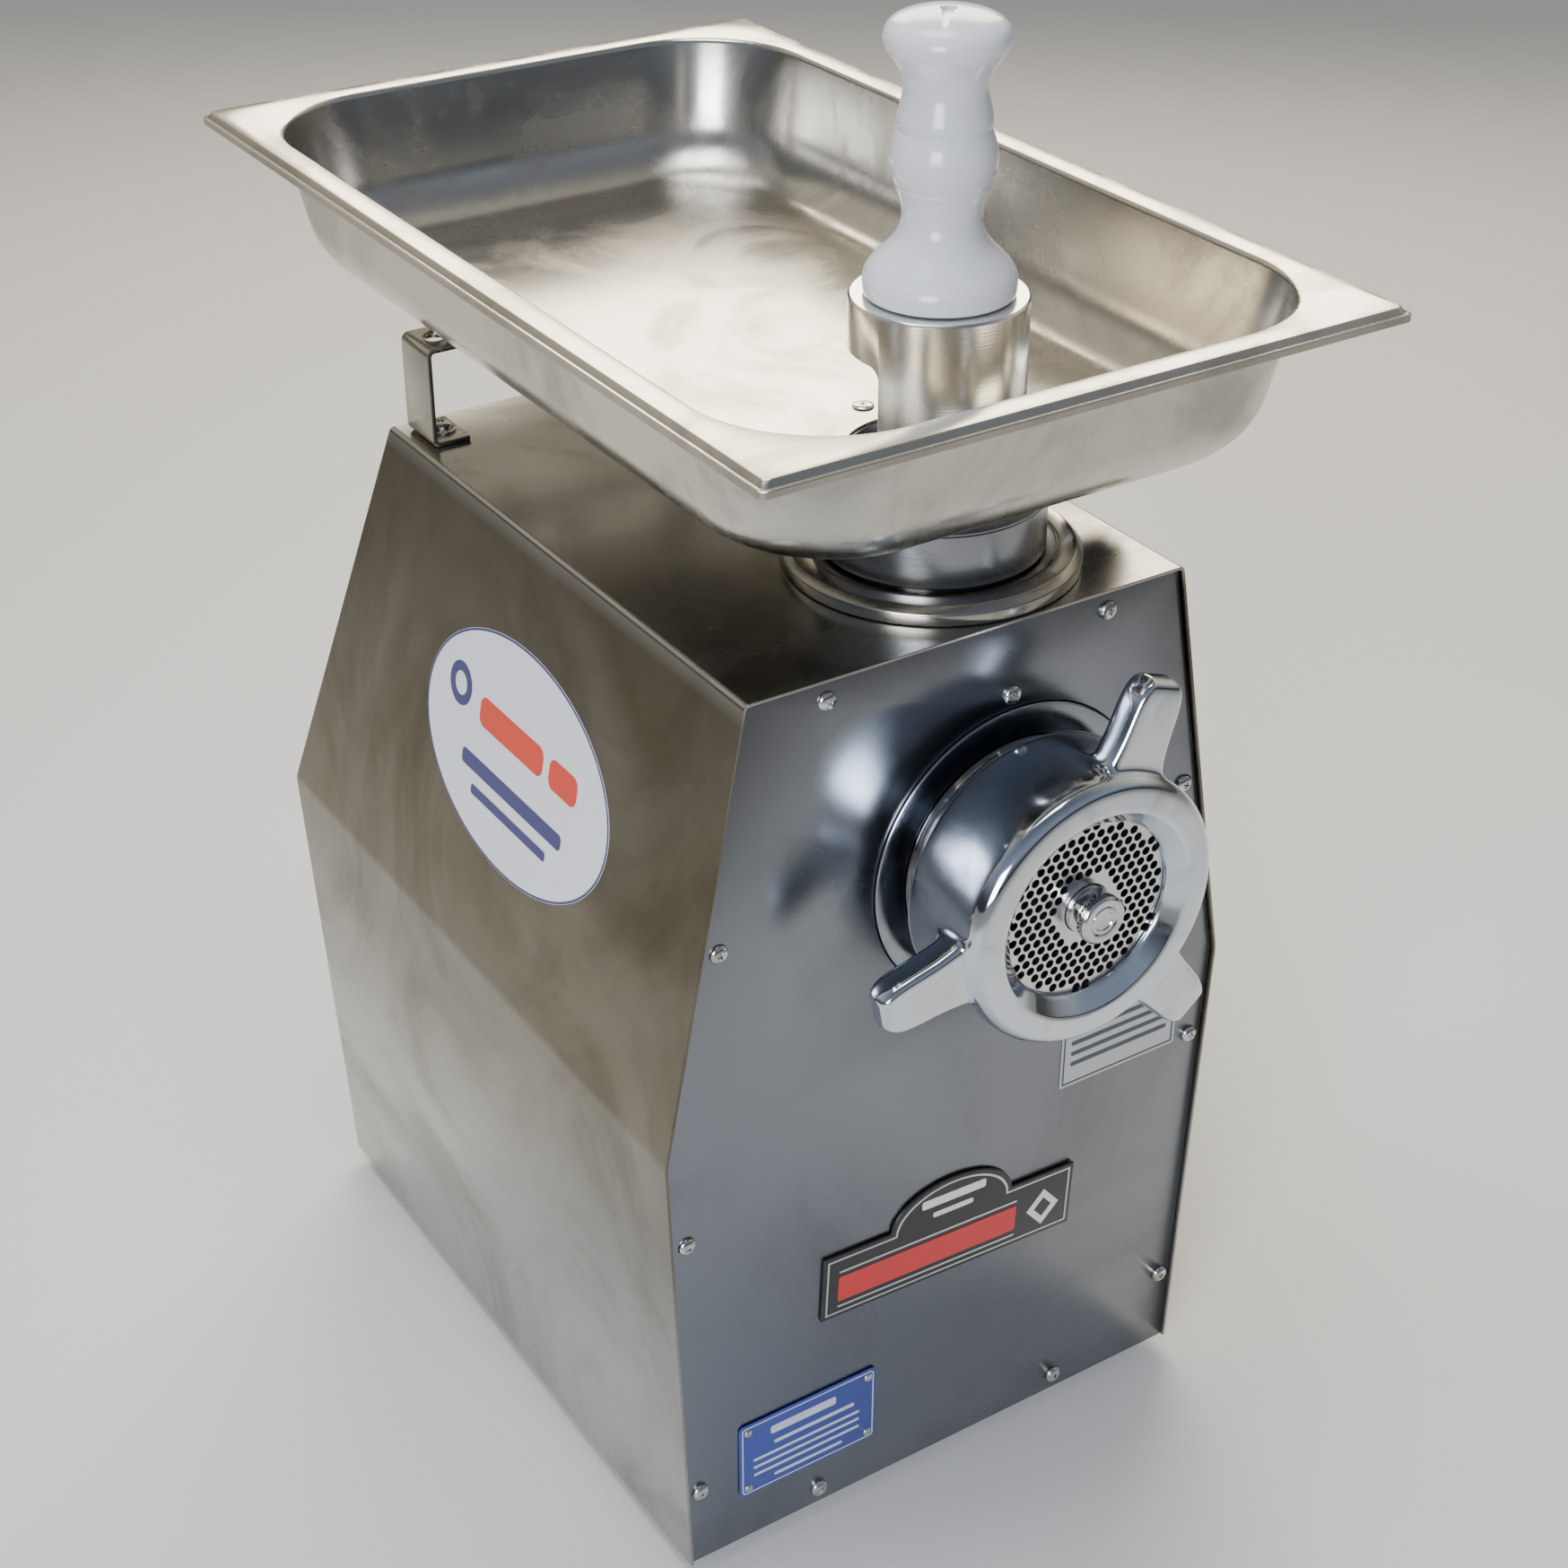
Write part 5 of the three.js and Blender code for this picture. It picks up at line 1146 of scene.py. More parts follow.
guard_top = (guard_high.z - guard_low.z) / MM
guard_radius = (guard_high.x - guard_low.x) / 2 / MM
guard_axis = Vector((collar_spot.x, collar_spot.y, guard_low.z))
guard_metal = turned_metal(
    "guard_metal", guard_axis, UPWARDS, (0.7, 0.7, 0.69), (0.52, 0.52, 0.51), 0.2, 0.34, 1400.0, 0.22
)
GUARD_WALL = 3.5
GUARD_BORE = 25.7
RING_HEIGHT = 23
RING_UNDERSIDE = guard_top - RING_HEIGHT + 4
guard = turn(
    "guard_ring",
    [
        (guard_radius - GUARD_WALL, 0), (guard_radius, 0), (guard_radius, guard_top - 1),
        (guard_radius - 1, guard_top), (GUARD_BORE + 1, guard_top), (GUARD_BORE, guard_top - 1),
        (GUARD_BORE, RING_UNDERSIDE), (guard_radius - GUARD_WALL, RING_UNDERSIDE),
        (guard_radius - GUARD_WALL, 0),
    ],
    guard_axis, "Z", 128,
)
cut_front = guard_axis.y - 10 * MM
cut_top = guard_high.z - RING_HEIGHT * MM
mouth_cut = block(
    "mouth_cut", (120 * MM, 70 * MM, 90 * MM), (guard_axis.x, cut_front + 35 * MM, cut_top - 45 * MM)
)
bpy.ops.object.mode_set(mode="EDIT")
pick(
    mouth_cut, lambda edge: all(
        vertex.co.z > cut_top - MM and vertex.co.y < cut_front + MM for vertex in edge.verts
    ), "EDGE",
)
bpy.ops.mesh.bevel(offset=6 * MM, segments=8, affect="EDGES")
bpy.ops.object.mode_set(mode="OBJECT")
cut_away(guard, mouth_cut)
ease(guard, 0.4, segments=3, angle=40)
settle(guard, "tray", guard_metal, "aluminium", "throat_guard")

# --- Pusher ---------------------------------------------------------------------------------------------
# Turned from white nylon: a plain plunger below, a foot that stops on the guard's ring, and a handle of
# swelling beads with a domed cap. A small round recess and a tapered notch are cut in the cap.

pusher_low, pusher_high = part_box("pusher")
pusher_axis = Vector((collar_spot.x, collar_spot.y, guard_high.z))
nylon, nylon_tree, nylon_shader = material("nylon", roughness=0.3)
nylon_shader.inputs["Subsurface Weight"].default_value = 0.12
nylon_shader.inputs["Subsurface Scale"].default_value = 0.004
nylon_shader.inputs["Coat Weight"].default_value = 0.25
nylon_shader.inputs["Coat Roughness"].default_value = 0.12
nylon_marks = place_group(nylon_tree, handling_marks, Size=12.0, Swirl=0.8, Cover=0.45)
nylon_lines = place_group(
    nylon_tree, turned_lines, Centre=pusher_axis, Axis=UPWARDS, Fineness=420.0
)
two_tone(nylon_tree, nylon_shader, nylon_marks, "Marks", (0.78, 0.8, 0.88), (0.7, 0.72, 0.8))
varied_roughness(nylon_tree, nylon_shader, nylon_marks, "Marks", 0.2, 0.38)
relief(nylon_tree, nylon_shader, nylon_lines, "Lines", 0.1, 0.00015)
plunger_end = (pusher_low.z - pusher_axis.z) / MM
cap_top = (pusher_high.z - pusher_axis.z) / MM
pusher = turn(
    "pusher_handle",
    [
        (18, plunger_end), (23.5, plunger_end), (25, plunger_end + 1.5), (25, plunger_end + 4),
        (25, -3), (25, 0.4), (25.2, 0.5), (31.4, 0.5), (32.4, 0.9), (32.9, 2.2), (33, 4), (33, 7.5),
        (32.3, 10.5), (30, 14), (26.5, 17.6), (22.4, 21.4), (19.2, 25.6), (17.4, 30), (16.8, 34),
        (17.3, 39), (18.8, 44), (20, 46.2), (20.1, 46.8), (19.5, 47.3), (19.5, 47.8), (20.4, 48.4),
        (21.7, 51.5), (22.5, 56), (22.6, 60), (22.0, 64.5), (20.6, 68.6), (19.6, 70.2), (19.2, 70.7),
        (19.2, 71.2), (19.7, 71.8), (20.1, 74), (19.6, 78), (18.2, 82.5), (17.4, 86.5), (17.7, 90.5),
        (19.4, 95), (22.6, 99.6), (25.2, 103), (26.4, 106.6), (26.2, 110), (24.8, 113), (21.6, 115.6),
        (16, 117.6), (9, 118.7), (3, cap_top),
    ],
    pusher_axis, "Z", 48,
)
apply_modifier(pusher, "SUBSURF", levels=1, render_levels=1)
recess_spot = pusher_axis + Vector((0, 0, cap_top * MM))
recess = cylinder("recess", 3.6, -1.6, 2, recess_spot, "Z", 32)
notch = block("notch", (16 * MM, 5 * MM, 3 * MM), (-11 * MM, 0, 0))
bpy.ops.object.mode_set(mode="EDIT")
pick(notch, lambda vertex: vertex.co.x < -15 * MM)
bpy.ops.transform.resize(value=(1, 0.4, 1), center_override=(0, 0, 0))
bpy.ops.transform.translate(value=(0, 0, -1.6 * MM))
bpy.ops.object.mode_set(mode="OBJECT")
notch.rotation_euler = (0, 0, math.radians(50))
notch.location = recess_spot
apply_place()
cut_away(pusher, recess, notch)
only(pusher)
bpy.ops.object.shade_smooth_by_angle(angle=math.radians(50))
settle(pusher, "pusher", nylon, "white_plastic", "pusher")

# --- Clamp screw ----------------------------------------------------------------------------------------
# A black lobed knob moulded on a steel stud. The stud runs through the sleeve's boss on to the throat tube.

knob_low, knob_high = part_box("clamp_knob")
knob_black = moulded("knob_black", (0.016, 0.017, 0.019), (0.09, 0.085, 0.08), 0.36, 620.0, 0.0002)
knob_radius = (knob_high.z - knob_low.z) / 2 / MM
knob_near = (knob_high.x - collar_spot.x) / MM - 20
knob_far = knob_near + 20
knob_spot = Vector((collar_spot.x, collar_spot.y, clamp_z))
knob = turn(
    "clamp_knob_moulding",
    [
        (9.6, knob_near - 7.9), (10, knob_near - 7), (10, knob_near), (14.5, knob_near + 0.4),
        (knob_radius - 0.6, knob_near + 2.5), (knob_radius, knob_near + 6), (knob_radius, knob_far - 6),
        (knob_radius - 0.8, knob_far - 2.5), (14, knob_far - 0.3), (9, knob_far - 0.2),
        (8.2, knob_far - 1.2), (3, knob_far - 1.2),
    ],
    (0, 0, 0), "X", 72,
)
KNOB_LOBES = 6
for vertex in knob.data.vertices:
    radius = math.hypot(vertex.co.y, vertex.co.z)
    if radius > 13 * MM:
        angle = math.atan2(vertex.co.z, vertex.co.y)
        grip = 1 - 0.13 * (0.5 - 0.5 * math.cos(KNOB_LOBES * angle)) ** 1.6
        vertex.co.y *= grip
        vertex.co.z *= grip
knob.location = knob_spot
only(knob)
apply_place()
cut_away(knob, cylinder("stud_cut", 4.3, knob_near - 12, knob_near + 11.6, knob_spot, "X", 32))
ease(knob, 0.5, segments=2, angle=35, shade=45)
settle(knob, "thumb_screw", knob_black, "black_plastic", "clamp_knob")

stud_low, stud_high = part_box("clamp_stud")
stud_start = (stud_low.x - collar_spot.x) / MM
stud_end = (stud_high.x - collar_spot.x) / MM
ridges = []
STUD_PITCH = 1.25
ridge = stud_start + 2
while ridge < stud_end - 2:
    ridges += [(3.45, ridge), (4, ridge + STUD_PITCH / 2)]
    ridge += STUD_PITCH
stud_steel = turned_metal(
    "stud_steel", knob_spot, ACROSS, (0.55, 0.55, 0.54), (0.36, 0.34, 0.31), 0.22, 0.4, 1500.0
)
stud = turn("clamp_stud_thread", [(3, stud_start), *ridges, (3.4, stud_end)], knob_spot, "X", 32)
only(stud)
bpy.ops.object.shade_smooth_by_angle(angle=math.radians(20))
settle(stud, "thumb_screw", stud_steel, "steel", "clamp_stud")

# --- Tray bridge ----------------------------------------------------------------------------------------
# A strap of stainless flat bar, bent down at both ends and in again, stands across the rear of the housing
# and carries the back of the tray. Two bolts hold its feet. Its upper corners have spare holes.

strap_low, strap_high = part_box("tray_bridge")
strap_steel = brushed_sheet(
    "strap_steel", (0.5, 0.48, 0.43), (0.34, 0.31, 0.25), (700.0, 30.0, 700.0), 0.24, 0.42, 16.0, 0.5
)
STRAP = 2.5
FOOT_LENGTH = 20
strap_middle = (strap_low + strap_high) / 2
bpy.ops.object.select_all(action="DESELECT")
bpy.ops.mesh.primitive_plane_add(size=1)
strap = bpy.context.active_object
strap.name = "rear_tray_bridge"
strap.data.name = strap.name
strap.scale = (strap_high.x - strap_low.x, strap_high.y - strap_low.y, 1)
strap.location = (strap_middle.x, strap_middle.y, strap_high.z)
apply_place()
bpy.ops.object.mode_set(mode="EDIT")
leg = strap_high.z - strap_low.z
for side, end_x in ((-1, strap_low.x), (1, strap_high.x)):
    pick(strap, lambda vertex: abs(vertex.co.x - end_x) < 0.1 * MM)
    bpy.ops.mesh.extrude_edges_move(TRANSFORM_OT_translate={"value": (0, 0, -leg)})
    bpy.ops.mesh.extrude_edges_move(TRANSFORM_OT_translate={"value": (-side * FOOT_LENGTH * MM, 0, 0)})
finish_edit()
if max(strap.data.polygons, key=lambda face: face.center.z).normal.z < 0:
    flip(strap)
apply_modifier(
    strap, "BEVEL", width=4 * MM, segments=5, limit_method="ANGLE", angle_limit=math.radians(30)
)
apply_modifier(strap, "SOLIDIFY", thickness=STRAP * MM, offset=-1, use_even_offset=True)
for side in ("left", "right"):
    bolt = middle("bridge_bolt_" + side)
    spare = cylinder("spare_cut", 5, -6, 6, (bolt.x, bolt.y, strap_high.z), "Z", 32)
    fixing = cylinder("fixing_cut", 4.3, -6, 6, (bolt.x, bolt.y, strap_low.z), "Z", 32)
    cut_away(strap, spare, fixing)
ease(strap, 0.35, segments=2, angle=45)
settle(strap, "machine", strap_steel, "stainless", "tray_bridge")

_, bolt_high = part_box("bridge_bolt_left")
head_height = (bolt_high.z - strap_low.z) / MM - STRAP
bolt_outline = [
    (4, -14), (4, 0), (7.6, 0), (7.6, 1.2), (6.6, 1.4), (6.5, 2.2), (5.6, 3.4),
    (3.6, head_height - 0.3), (1, head_height),
]
bolt_pattern = cross_screw("bolt_pattern", bolt_outline, 5.2, 1.6)
for side, twist in (("left", 0.4), ("right", 1.1)):
    node_name = "bridge_bolt_" + side
    bolt = middle(node_name)
    seat = (bolt.x, bolt.y, strap_low.z + STRAP * MM)
    set_screw(bolt_pattern, "bridge_bolt_head_" + side, seat, (0, 0, twist), "machine", node_name)
bpy.data.objects.remove(bolt_pattern)

# --- Rotary switch --------------------------------------------------------------------------------------
# A black cam switch through the right-hand wall: a round bezel with an off mark and two run marks, and a
# knob with a finger grip that turns in front of it.

switch_pivot = pivots["switch_turn"]
switch_joint = next(joint for joint in frame["joints"] if joint["name"] == "switch_turn")
switch_axis = Vector(switch_joint["axis"])
switch_tilt = math.atan2(-switch_axis.z, switch_axis.x)
switch_black = moulded("switch_black", (0.02, 0.02, 0.022), (0.08, 0.08, 0.08), 0.4, 650.0, 0.00018)
SPINDLE_BORE = 3.3
MARK_RADIUS = 22


def lay_on_wall(piece):
    """Leans a piece made about the X axis to the wall's slope, and moves it to the switch."""
    piece.rotation_euler = (0, switch_tilt, 0)
    piece.location = switch_pivot
    only(piece)
    apply_place()


bezel = turn(
    "switch_bezel",
    [
        (SPINDLE_BORE, -4), (11, -4), (11, 0.3), (24, 0.3), (24, 1.4), (23.2, 2.4), (20.6, 2.5),
        (20.2, 1.9), (SPINDLE_BORE, 1.9), (SPINDLE_BORE, -4),
    ],
    (0, 0, 0), "X", 96,
)
contact_block = block("contact_block", (38 * MM, 44 * MM, 44 * MM), (-23 * MM, 0, 0))
cut_away(contact_block, cylinder("spindle_cut", SPINDLE_BORE, -20, 0, (0, 0, 0), "X", 32))
join_on(bezel, contact_block)
ease(bezel, 0.3, segments=2, angle=40)
lay_on_wall(bezel)
settle(bezel, "machine", switch_black, "black_plastic", "switch_body")

knob_face = turn(
    "switch_knob_moulding",
    [(3, -19), (3, 3), (18.6, 3), (19, 3.6), (19, 7.2), (18.2, 8.6), (15.5, 9.8), (4, 10)],
    (0, 0, 0), "X", 96,
)
grip = block("grip", (14 * MM, 8 * MM, 34 * MM), (15 * MM, 0, 0))
bpy.ops.object.mode_set(mode="EDIT")
bpy.ops.mesh.select_all(action="SELECT")
bpy.ops.mesh.subdivide(number_cuts=3)
pick(grip, lambda vertex: vertex.co.x > 21 * MM)
bpy.ops.transform.resize(value=(1, 0.75, 0.92), center_override=(22 * MM, 0, 0))
pick(grip, lambda vertex: abs(vertex.co.z) < 9 * MM)
bpy.ops.transform.resize(value=(1, 0.78, 1), center_override=(0, 0, 0))
bpy.ops.object.mode_set(mode="OBJECT")
apply_modifier(
    grip, "BEVEL", width=1.6 * MM, segments=4, limit_method="ANGLE", angle_limit=math.radians(45)
)
join_on(knob_face, grip)
ease(knob_face, 0.3, segments=2, angle=50, shade=40)
lay_on_wall(knob_face)
settle(knob_face, "switch_dial", switch_black, "black_plastic", "switch_knob")

mark_white, mark_tree, mark_shader = material("mark_white", roughness=0.5)
mark_wear = place_group(mark_tree, handling_marks, Size=300.0, Swirl=0.5, Cover=0.4)
two_tone(mark_tree, mark_shader, mark_wear, "Marks", (0.8, 0.8, 0.78), (0.5, 0.5, 0.48))


def bar(name, size, spot):
    """A thin plate about the origin, its size and spot in millimetres."""
    return block(name, [length * MM for length in size], [distance * MM for distance in spot])


def round_corners(plate, axis, radius, segments=6):
    """Rounds the four edges of a plate that run along an axis (0, 1 or 2)."""
    only(plate)
    bpy.ops.object.mode_set(mode="EDIT")
    pick(plate, lambda edge: abs((edge.verts[0].co - edge.verts[1].co).normalized()[axis]) > 0.9, "EDGE")
    bpy.ops.mesh.bevel(offset=radius * MM, segments=segments, affect="EDGES")
    bpy.ops.object.mode_set(mode="OBJECT")


pointer = bar("switch_pointer", (0.4, 1.6, 9), (22.1, 0, 9))
round_corners(pointer, 0, 0.7)
lay_on_wall(pointer)
settle(pointer, "switch_dial", mark_white, "white_plastic")
for count, angle in enumerate((-45, 0, 45), 1):
    turned_by = math.radians(angle)
    place = (2.5, -MARK_RADIUS * math.sin(turned_by), MARK_RADIUS * math.cos(turned_by))
    tick = bar(f"switch_mark_{count}", (0.4, 1.2, 2.2), place)
    round_corners(tick, 0, 0.5)
    lay_on_wall(tick)
    settle(tick, "machine", mark_white, "white_plastic")

# --- Plates and stickers --------------------------------------------------------------------------------
# On the front: a black badge with a hump, a riveted blue data plate and a silver label, all with plain bars
# and no words. On the left-hand slope: a white oval sticker with a plain device of bars and a ring.

plate_y = front_low.y


def printed(name, colour, worn, roughness=0.35, metallic=0.0, cover=0.35):
    made, tree, shader = material(name, metallic=metallic, roughness=roughness)
    wear = place_group(tree, handling_marks, Size=40.0, Swirl=1.0, Cover=cover)
    two_tone(tree, shader, wear, "Marks", colour, worn)
    varied_roughness(tree, shader, wear, "Marks", roughness, roughness + 0.15)
    return made


badge_black = printed("badge_black", (0.022, 0.022, 0.024), (0.05, 0.05, 0.05), 0.3)
badge_silver = printed("badge_silver", (0.6, 0.6, 0.6), (0.42, 0.42, 0.42), 0.28, 1.0)
badge_red = printed("badge_red", (0.62, 0.035, 0.04), (0.48, 0.05, 0.05))
plate_blue = printed("plate_blue", (0.055, 0.085, 0.36), (0.09, 0.12, 0.36), 0.36, 0.2)
plate_light = printed("plate_light", (0.62, 0.65, 0.74), (0.48, 0.5, 0.58), 0.4)
label_silver = printed("label_silver", (0.5, 0.52, 0.54), (0.38, 0.4, 0.42), 0.34, 0.9)
label_ink = printed("label_ink", (0.06, 0.07, 0.1), (0.12, 0.13, 0.15), 0.5)
sticker_white = printed("sticker_white", (0.8, 0.81, 0.86), (0.7, 0.71, 0.74), 0.3)
sticker_navy = printed("sticker_navy", (0.035, 0.04, 0.16), (0.06, 0.07, 0.2))
sticker_red = printed("sticker_red", (0.72, 0.045, 0.02), (0.6, 0.07, 0.04))

# The badge's face is drawn about its own middle, then turned a little and put on the panel.
BADGE_HALF, BADGE_BAND, HUMP, HUMP_RISE = 75, 19, 36, 22
BADGE_TILT = 2.5
badge_spot = Vector((shell_middle.x + 1 * MM, plate_y, shell_low.z + 138 * MM))


def badge_outline(inset):
    """The badge's outline about its middle: a band with a rounded hump on its upper edge."""
    half, band = BADGE_HALF - inset, BADGE_BAND - inset
    points = [(half, -band), (half, band), (HUMP - inset + 3, band)]
    steps = 24
    for step in range(steps + 1):
        angle = math.pi * step / steps
        points.append(((HUMP - inset) * math.cos(angle), band + (HUMP_RISE - 1) * math.sin(angle)))
    return points + [(-HUMP + inset - 3, band), (-half, band), (-half, -band)]


def flat_piece(name, points, front, back):
    """A flat piece with this outline in X and Z, between two distances in front of the panel."""
    bpy.ops.object.select_all(action="DESELECT")
    bpy.ops.mesh.primitive_circle_add(vertices=len(points), radius=1, fill_type="NGON")
    plate = bpy.context.active_object
    plate.name = name
    plate.data.name = name
    for vertex, (aside, up) in zip(plate.data.vertices, points):
        vertex.co = (aside * MM, -back * MM, up * MM)
    bpy.ops.object.mode_set(mode="EDIT")
    bpy.ops.mesh.select_all(action="SELECT")
    bpy.ops.mesh.extrude_region_move(TRANSFORM_OT_translate={"value": (0, (back - front) * MM, 0)})
    finish_edit()
    return plate


def put_on_panel(piece, spot, tilt, finish, slot, *nodes, body="machine"):
    piece.rotation_euler = (0, math.radians(tilt), 0)
    piece.location = spot
    only(piece)
    apply_place()
    settle(piece, body, finish, slot, *nodes)


badge = flat_piece("badge_plate", badge_outline(0), 1.9, 0.3)
ease(badge, 0.5, segments=3, angle=50)
put_on_panel(badge, badge_spot, BADGE_TILT, badge_black, "black_plastic", "name_badge")
trim = flat_piece("badge_trim", badge_outline(2.2), 2.0, 1.7)
hollow = flat_piece("trim_cut", badge_outline(3.2), 3.0, 1.0)
cut_away(trim, hollow)
put_on_panel(trim, badge_spot, BADGE_TILT, badge_silver, "steel")


def printed_bars(prefix, rows, spot, tilt, front, finish, slot):
    """Plain raised bars (from, to, height of the middle, thickness) on a plate."""
    for count, (start, end, level, thick) in enumerate(rows, 1):
        strip = bar(f"{prefix}_{count}", (end - start, 0.25, thick), ((start + end) / 2, -front, level))
        round_corners(strip, 1, min(thick / 2.2, 1.2), 4)
        put_on_panel(strip, spot, tilt, finish, slot)


printed_bars("badge_bar", [(-66, 40, -2, 15)], badge_spot, BADGE_TILT, 2.0, badge_red, "black_plastic")
BADGE_EDGES = [(-66, 40, 8.6, 1.2), (-66, 40, -12.6, 1.2)]
HUMP_BARS = [(-19, 19, 29, 5), (-12, 12, 21, 3)]
printed_bars("badge_edge", BADGE_EDGES, badge_spot, BADGE_TILT, 2.0, badge_silver, "steel")
printed_bars("badge_hump_bar", HUMP_BARS, badge_spot, BADGE_TILT, 2.0, mark_white, "white_plastic")
diamond = flat_piece("badge_device", [(67, -2), (57, 9), (47, -2), (57, -13)], 2.1, 1.8)
inner = flat_piece("device_cut", [(62.5, -2), (57, 4), (51.5, -2), (57, -8)], 3.0, 1.0)
cut_away(diamond, inner)
put_on_panel(diamond, badge_spot, BADGE_TILT, mark_white, "white_plastic")

data_low, data_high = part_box("data_plate")
data_spot = Vector(((data_low.x + data_high.x) / 2, plate_y, (data_low.z + data_high.z) / 2))
data_half_x = (data_high.x - data_low.x) / 2 / MM
data_half_z = (data_high.z - data_low.z) / 2 / MM
blue = bar("blue_data_plate", (2 * data_half_x, 0.8, 2 * data_half_z), (0, -0.7, 0))
round_corners(blue, 1, 3)
ease(blue, 0.2, segments=2, angle=50)
put_on_panel(blue, data_spot, 0, plate_blue, "blue_plate", "data_plate")
border = bar("plate_border", (2 * data_half_x - 3, 0.25, 2 * data_half_z - 3), (0, -1.15, 0))
round_corners(border, 1, 2.2)
inside = bar("border_cut", (2 * data_half_x - 4.2, 2, 2 * data_half_z - 4.2), (0, -1.15, 0))
round_corners(inside, 1, 1.8)
cut_away(border, inside)
put_on_panel(border, data_spot, 0, plate_light, "blue_plate")
DATA_ROWS = [
    (-22, 16, 13.5, 5), (-20, 27, 5, 2.2), (-32, 30, -1.5, 1.6), (-32, 30, -6.5, 1.6),
    (-32, 30, -11.5, 1.6), (-20, 20, -17, 1.8),
]
printed_bars("data_bar", DATA_ROWS, data_spot, 0, 1.15, plate_light, "blue_plate")
rivet = turn("rivet", [(2.4, 0), (2.3, 0.5), (1.6, 1.1), (0.5, 1.3)], (0, 0, 0), sides=24)
ease(rivet, 0.1, segments=1)
for count, (side, up) in enumerate(((-1, -1), (1, -1), (-1, 1), (1, 1)), 1):
    spot = data_spot + Vector((side * (data_half_x - 5) * MM, -1.1 * MM, up * (data_half_z - 5) * MM))
    set_screw(rivet, f"plate_rivet_{count}", spot, (math.pi / 2, 0, 0), "machine")
bpy.data.objects.remove(rivet)

label_spot = Vector((shell_middle.x + 101 * MM, plate_y, shell_low.z + 229 * MM))
label = bar("silver_label", (72, 0.3, 52), (0, -0.15, 0))
round_corners(label, 1, 1.2)
put_on_panel(label, label_spot, 0, label_silver, "steel")
border = bar("label_border", (69, 0.2, 49), (0, -0.35, 0))
inside = bar("border_cut", (67.4, 2, 47.4), (0, -0.35, 0))
cut_away(border, inside)
put_on_panel(border, label_spot, 0, label_ink, "black_plastic")
LABEL_ROWS = [(-30, 30, 18 - 6.2 * row, 2.4) for row in range(6)]
LABEL_ROWS[2] = (-18, 30, 5.6, 2.4)
printed_bars("label_bar", LABEL_ROWS, label_spot, 0, 0.35, label_ink, "black_plastic")

# The oval sticker lies on the slope above the left-hand knee.
slope_angle = math.atan2(knee_half - top_half, shell_high.z - knee_z)
STICKER_UP = 117
STICKER_BACK = 171
OVAL_LONG, OVAL_SHORT = 89, 58
up_slope = Vector((math.sin(slope_angle), 0, math.cos(slope_angle)))
sticker_spot = Vector((shell_middle.x - knee_half, shell_low.y + STICKER_BACK * MM, knee_z))
sticker_spot += up_slope * STICKER_UP * MM


def on_slope(piece, finish, slot):
    """Puts a piece drawn on the front of a panel on the left-hand slope instead."""
    piece.rotation_euler = (0, 0, -math.pi / 2)
    only(piece)
    apply_place()
    piece.rotation_euler = (0, slope_angle, 0)
    piece.location = sticker_spot
    apply_place()
    settle(piece, "machine", finish, slot)


def oval(long, short, steps=96):
    turns = [2 * math.pi * step / steps for step in range(steps)]
    return [(long * math.cos(turn_by), short * math.sin(turn_by)) for turn_by in turns]


on_slope(flat_piece("oval_sticker", oval(OVAL_LONG, OVAL_SHORT), 0.25, 0.0), sticker_white, "white_plastic")
outline = flat_piece("oval_outline", oval(OVAL_LONG - 0.2, OVAL_SHORT - 0.2), 0.35, 0.2)
cut_away(outline, flat_piece("outline_cut", oval(OVAL_LONG - 1.4, OVAL_SHORT - 1.4), 1.0, -1.0))
on_slope(outline, sticker_navy, "white_plastic")
STICKER_RED = [(-36, 26, 12, 15), (32, 58, 12, 15)]
STICKER_NAVY = [(-48, 50, -17, 8), (-36, 38, -30, 5)]
for prefix, rows, finish in (
    ("sticker_red_bar", STICKER_RED, sticker_red), ("sticker_navy_bar", STICKER_NAVY, sticker_navy),
):
    for count, (start, end, level, thick) in enumerate(rows, 1):
        strip = bar(f"{prefix}_{count}", (end - start, 0.2, thick), ((start + end) / 2, -0.35, level))
        round_corners(strip, 1, thick / 3)
        on_slope(strip, finish, "white_plastic")
device = flat_piece("sticker_device", oval(11, 11, 48), 0.45, 0.2)
cut_away(device, flat_piece("device_cut", oval(6, 6, 48), 1.0, -1.0))
device.location = (-57 * MM, 0, 16 * MM)
only(device)
apply_place()
on_slope(device, sticker_navy, "white_plastic")

# --- Base plate -----------------------------------------------------------------------------------------
# The folded steel sheet that closes the housing below.

base_steel = brushed_sheet(
    "base_steel", (0.5, 0.5, 0.5), (0.36, 0.35, 0.33), (700.0, 20.0, 700.0), 0.3, 0.46, 9.0, 0.5
)
frame["nodes"]["base_plate"].material_slots[0].material = base_steel

# --- Floor and light ------------------------------------------------------------------------------------
# A plain pale floor under soft light: one broad warm lamp behind and to the right, a smaller one in front,
# and a weak one above, in a room that isn't evenly grey.

bpy.ops.object.select_all(action="DESELECT")
bpy.ops.mesh.primitive_plane_add(size=40, location=(0, 0, 0))
floor = bpy.context.active_object
floor.name = "studio_floor"
floor_paint, _, floor_shader = material("floor_paint", roughness=0.9)
floor_shader.inputs["Specular IOR Level"].default_value = 0.1
floor_shader.inputs["Base Color"].default_value = (0.8, 0.8, 0.79, 1)
floor.data.materials.append(floor_paint)


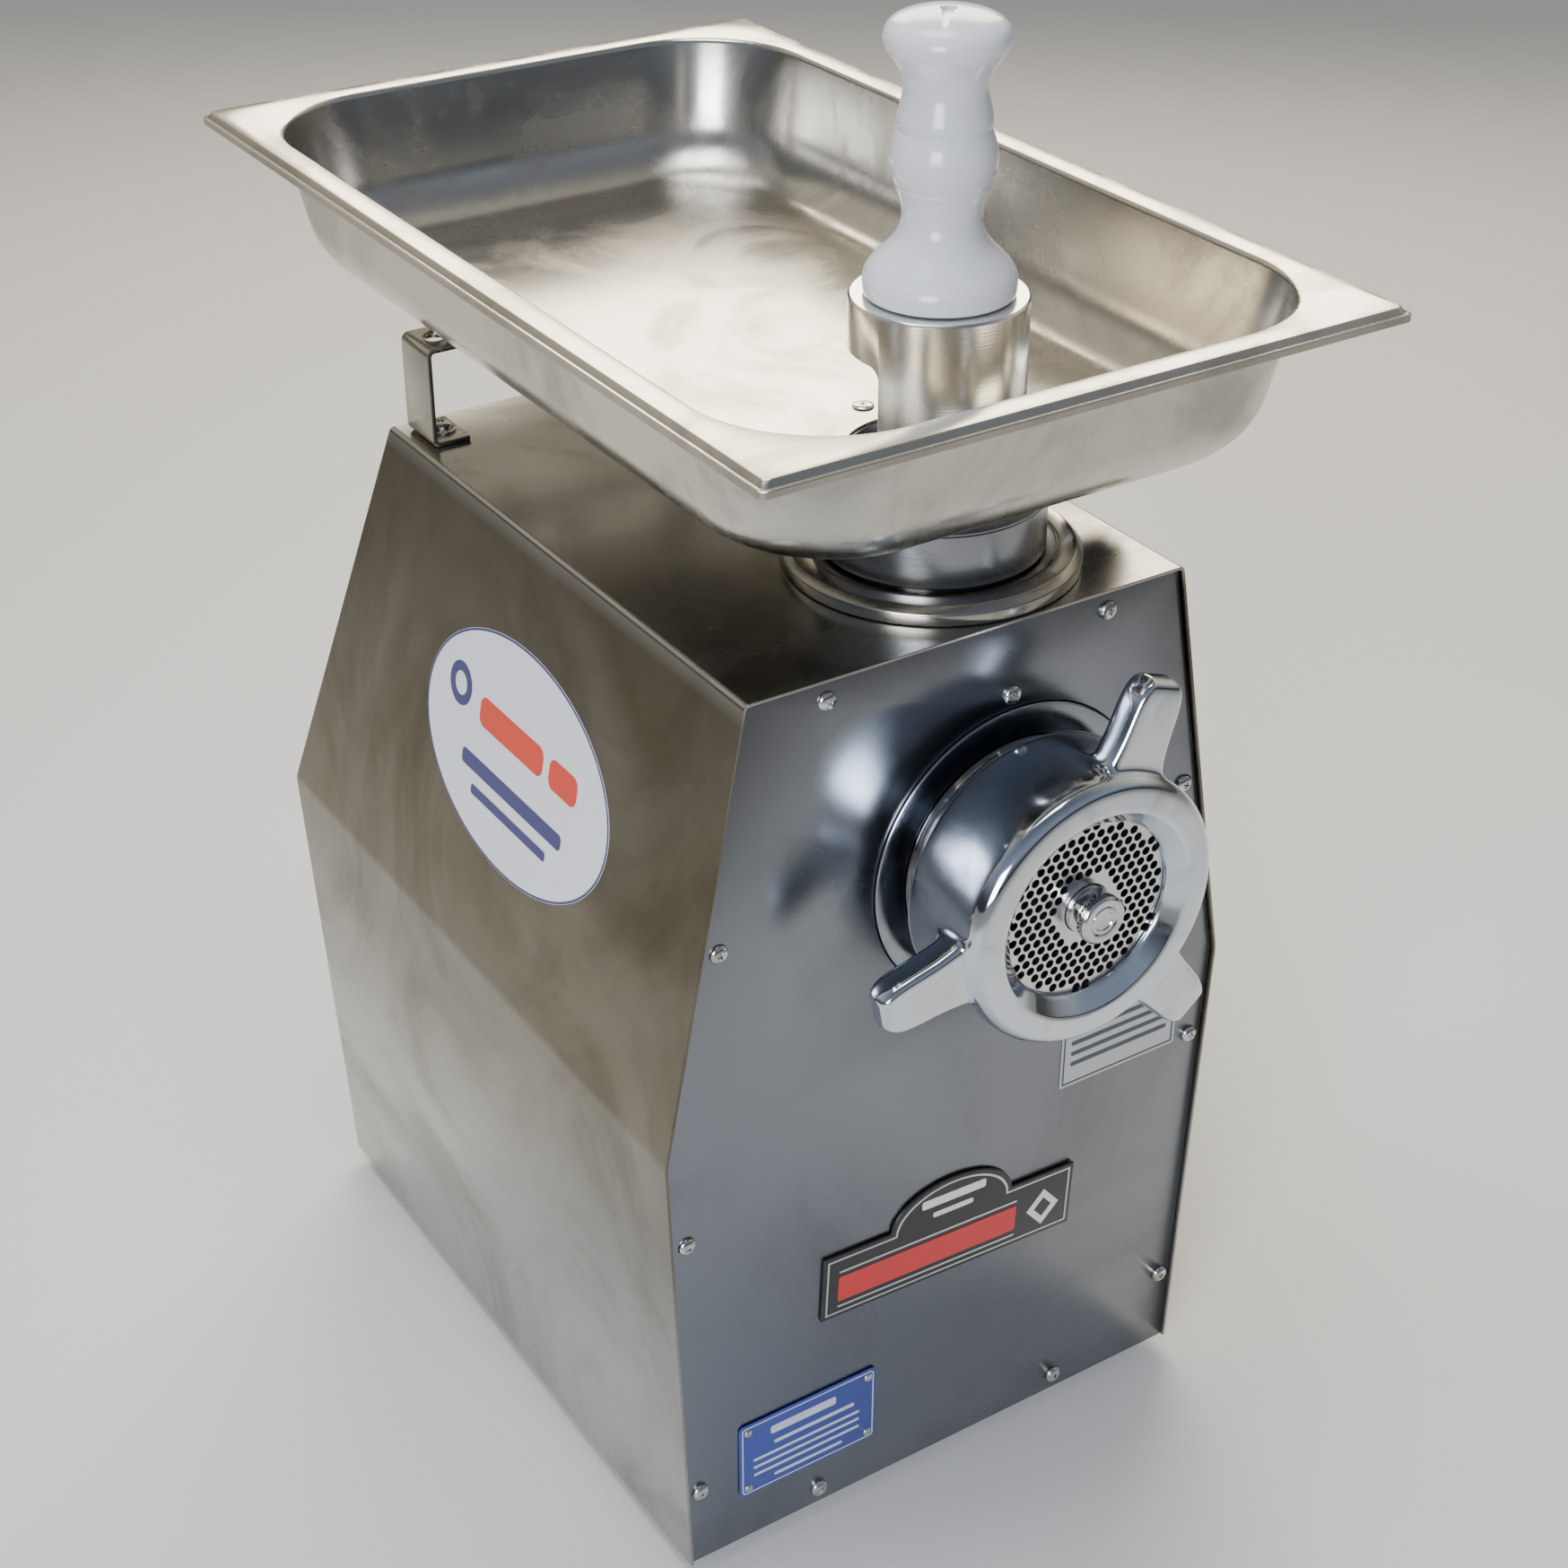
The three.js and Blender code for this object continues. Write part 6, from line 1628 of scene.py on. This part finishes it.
def lamp(name, place, target, size, power, colour, spread):
    """A soft lamp that faces the target, with its light kept within this many degrees."""
    data = bpy.data.lights.new(name, "AREA")
    data.shape = "RECTANGLE"
    data.size, data.size_y = size
    data.energy = power
    data.color = colour
    data.spread = math.radians(spread)
    made = bpy.data.objects.new(name, data)
    made.location = place
    aim = Vector(target) - Vector(place)
    made.rotation_mode = "QUATERNION"
    made.rotation_quaternion = aim.to_track_quat("-Z", "Y")
    bpy.context.scene.collection.objects.link(made)


lamp("rear_lamp", (1.25, 1.75, 1.75), (0, 0.05, 0.5), (1.9, 1.2), 38, (1.0, 0.9, 0.72), 140)
lamp("front_lamp", (-1.7, -1.5, 0.95), (0, 0, 0.35), (0.9, 0.9), 12, (0.92, 0.95, 1.0), 90)
lamp("top_lamp", (-0.2, 0.1, 2.2), (0, 0, 0.3), (1.0, 1.0), 7, (0.93, 0.96, 1.0), 90)

# The room is cream behind and to the right, and blue-grey in front.
room = bpy.data.worlds.new("room")
room.use_nodes = True
bpy.context.scene.world = room
room_tree = room.node_tree
sky = room_tree.nodes["Background"]
room_place = node(room_tree, "TexCoord")
room_parts = node(room_tree, "SeparateXYZ")
room_rise = node(room_tree, "ValToRGB")
stops = room_rise.color_ramp.elements
stops[0].position, stops[0].color = 0.0, (0.1, 0.1, 0.1, 1)
stops[1].position, stops[1].color = 1.0, (0.4, 0.4, 0.4, 1)
for position, shade in ((0.12, 0.16), (0.42, 1.0), (0.66, 0.8)):
    stop = stops.new(position)
    stop.color = (shade, shade, shade, 1)
room_side = node(room_tree, "VectorMath", {1: (0.5, 0.86, 0.0)}, operation="DOT_PRODUCT")
room_blend = node(
    room_tree, "MapRange", {"From Min": -0.35, "From Max": 0.7}, interpolation_type="SMOOTHSTEP"
)
room_tint = node(room_tree, "Mix", data_type="RGBA")
room_tint.inputs["A"].default_value = (0.3, 0.34, 0.42, 1)
room_tint.inputs["B"].default_value = (1.0, 0.91, 0.74, 1)
room_colour = node(room_tree, "Mix", {"Factor": 1.0}, data_type="RGBA", blend_type="MULTIPLY")
link(room_tree, room_place, "Generated", room_parts, "Vector")
link(room_tree, room_parts, "Z", room_rise, "Fac")
link(room_tree, room_place, "Generated", room_side, 0)
link(room_tree, room_side, "Value", room_blend, "Value")
link(room_tree, room_blend, "Result", room_tint, "Factor")
link(room_tree, room_rise, "Color", room_colour, "A")
link(room_tree, room_tint, "Result", room_colour, "B")
link(room_tree, room_colour, "Result", sky, "Color")
sky.inputs["Strength"].default_value = 0.95
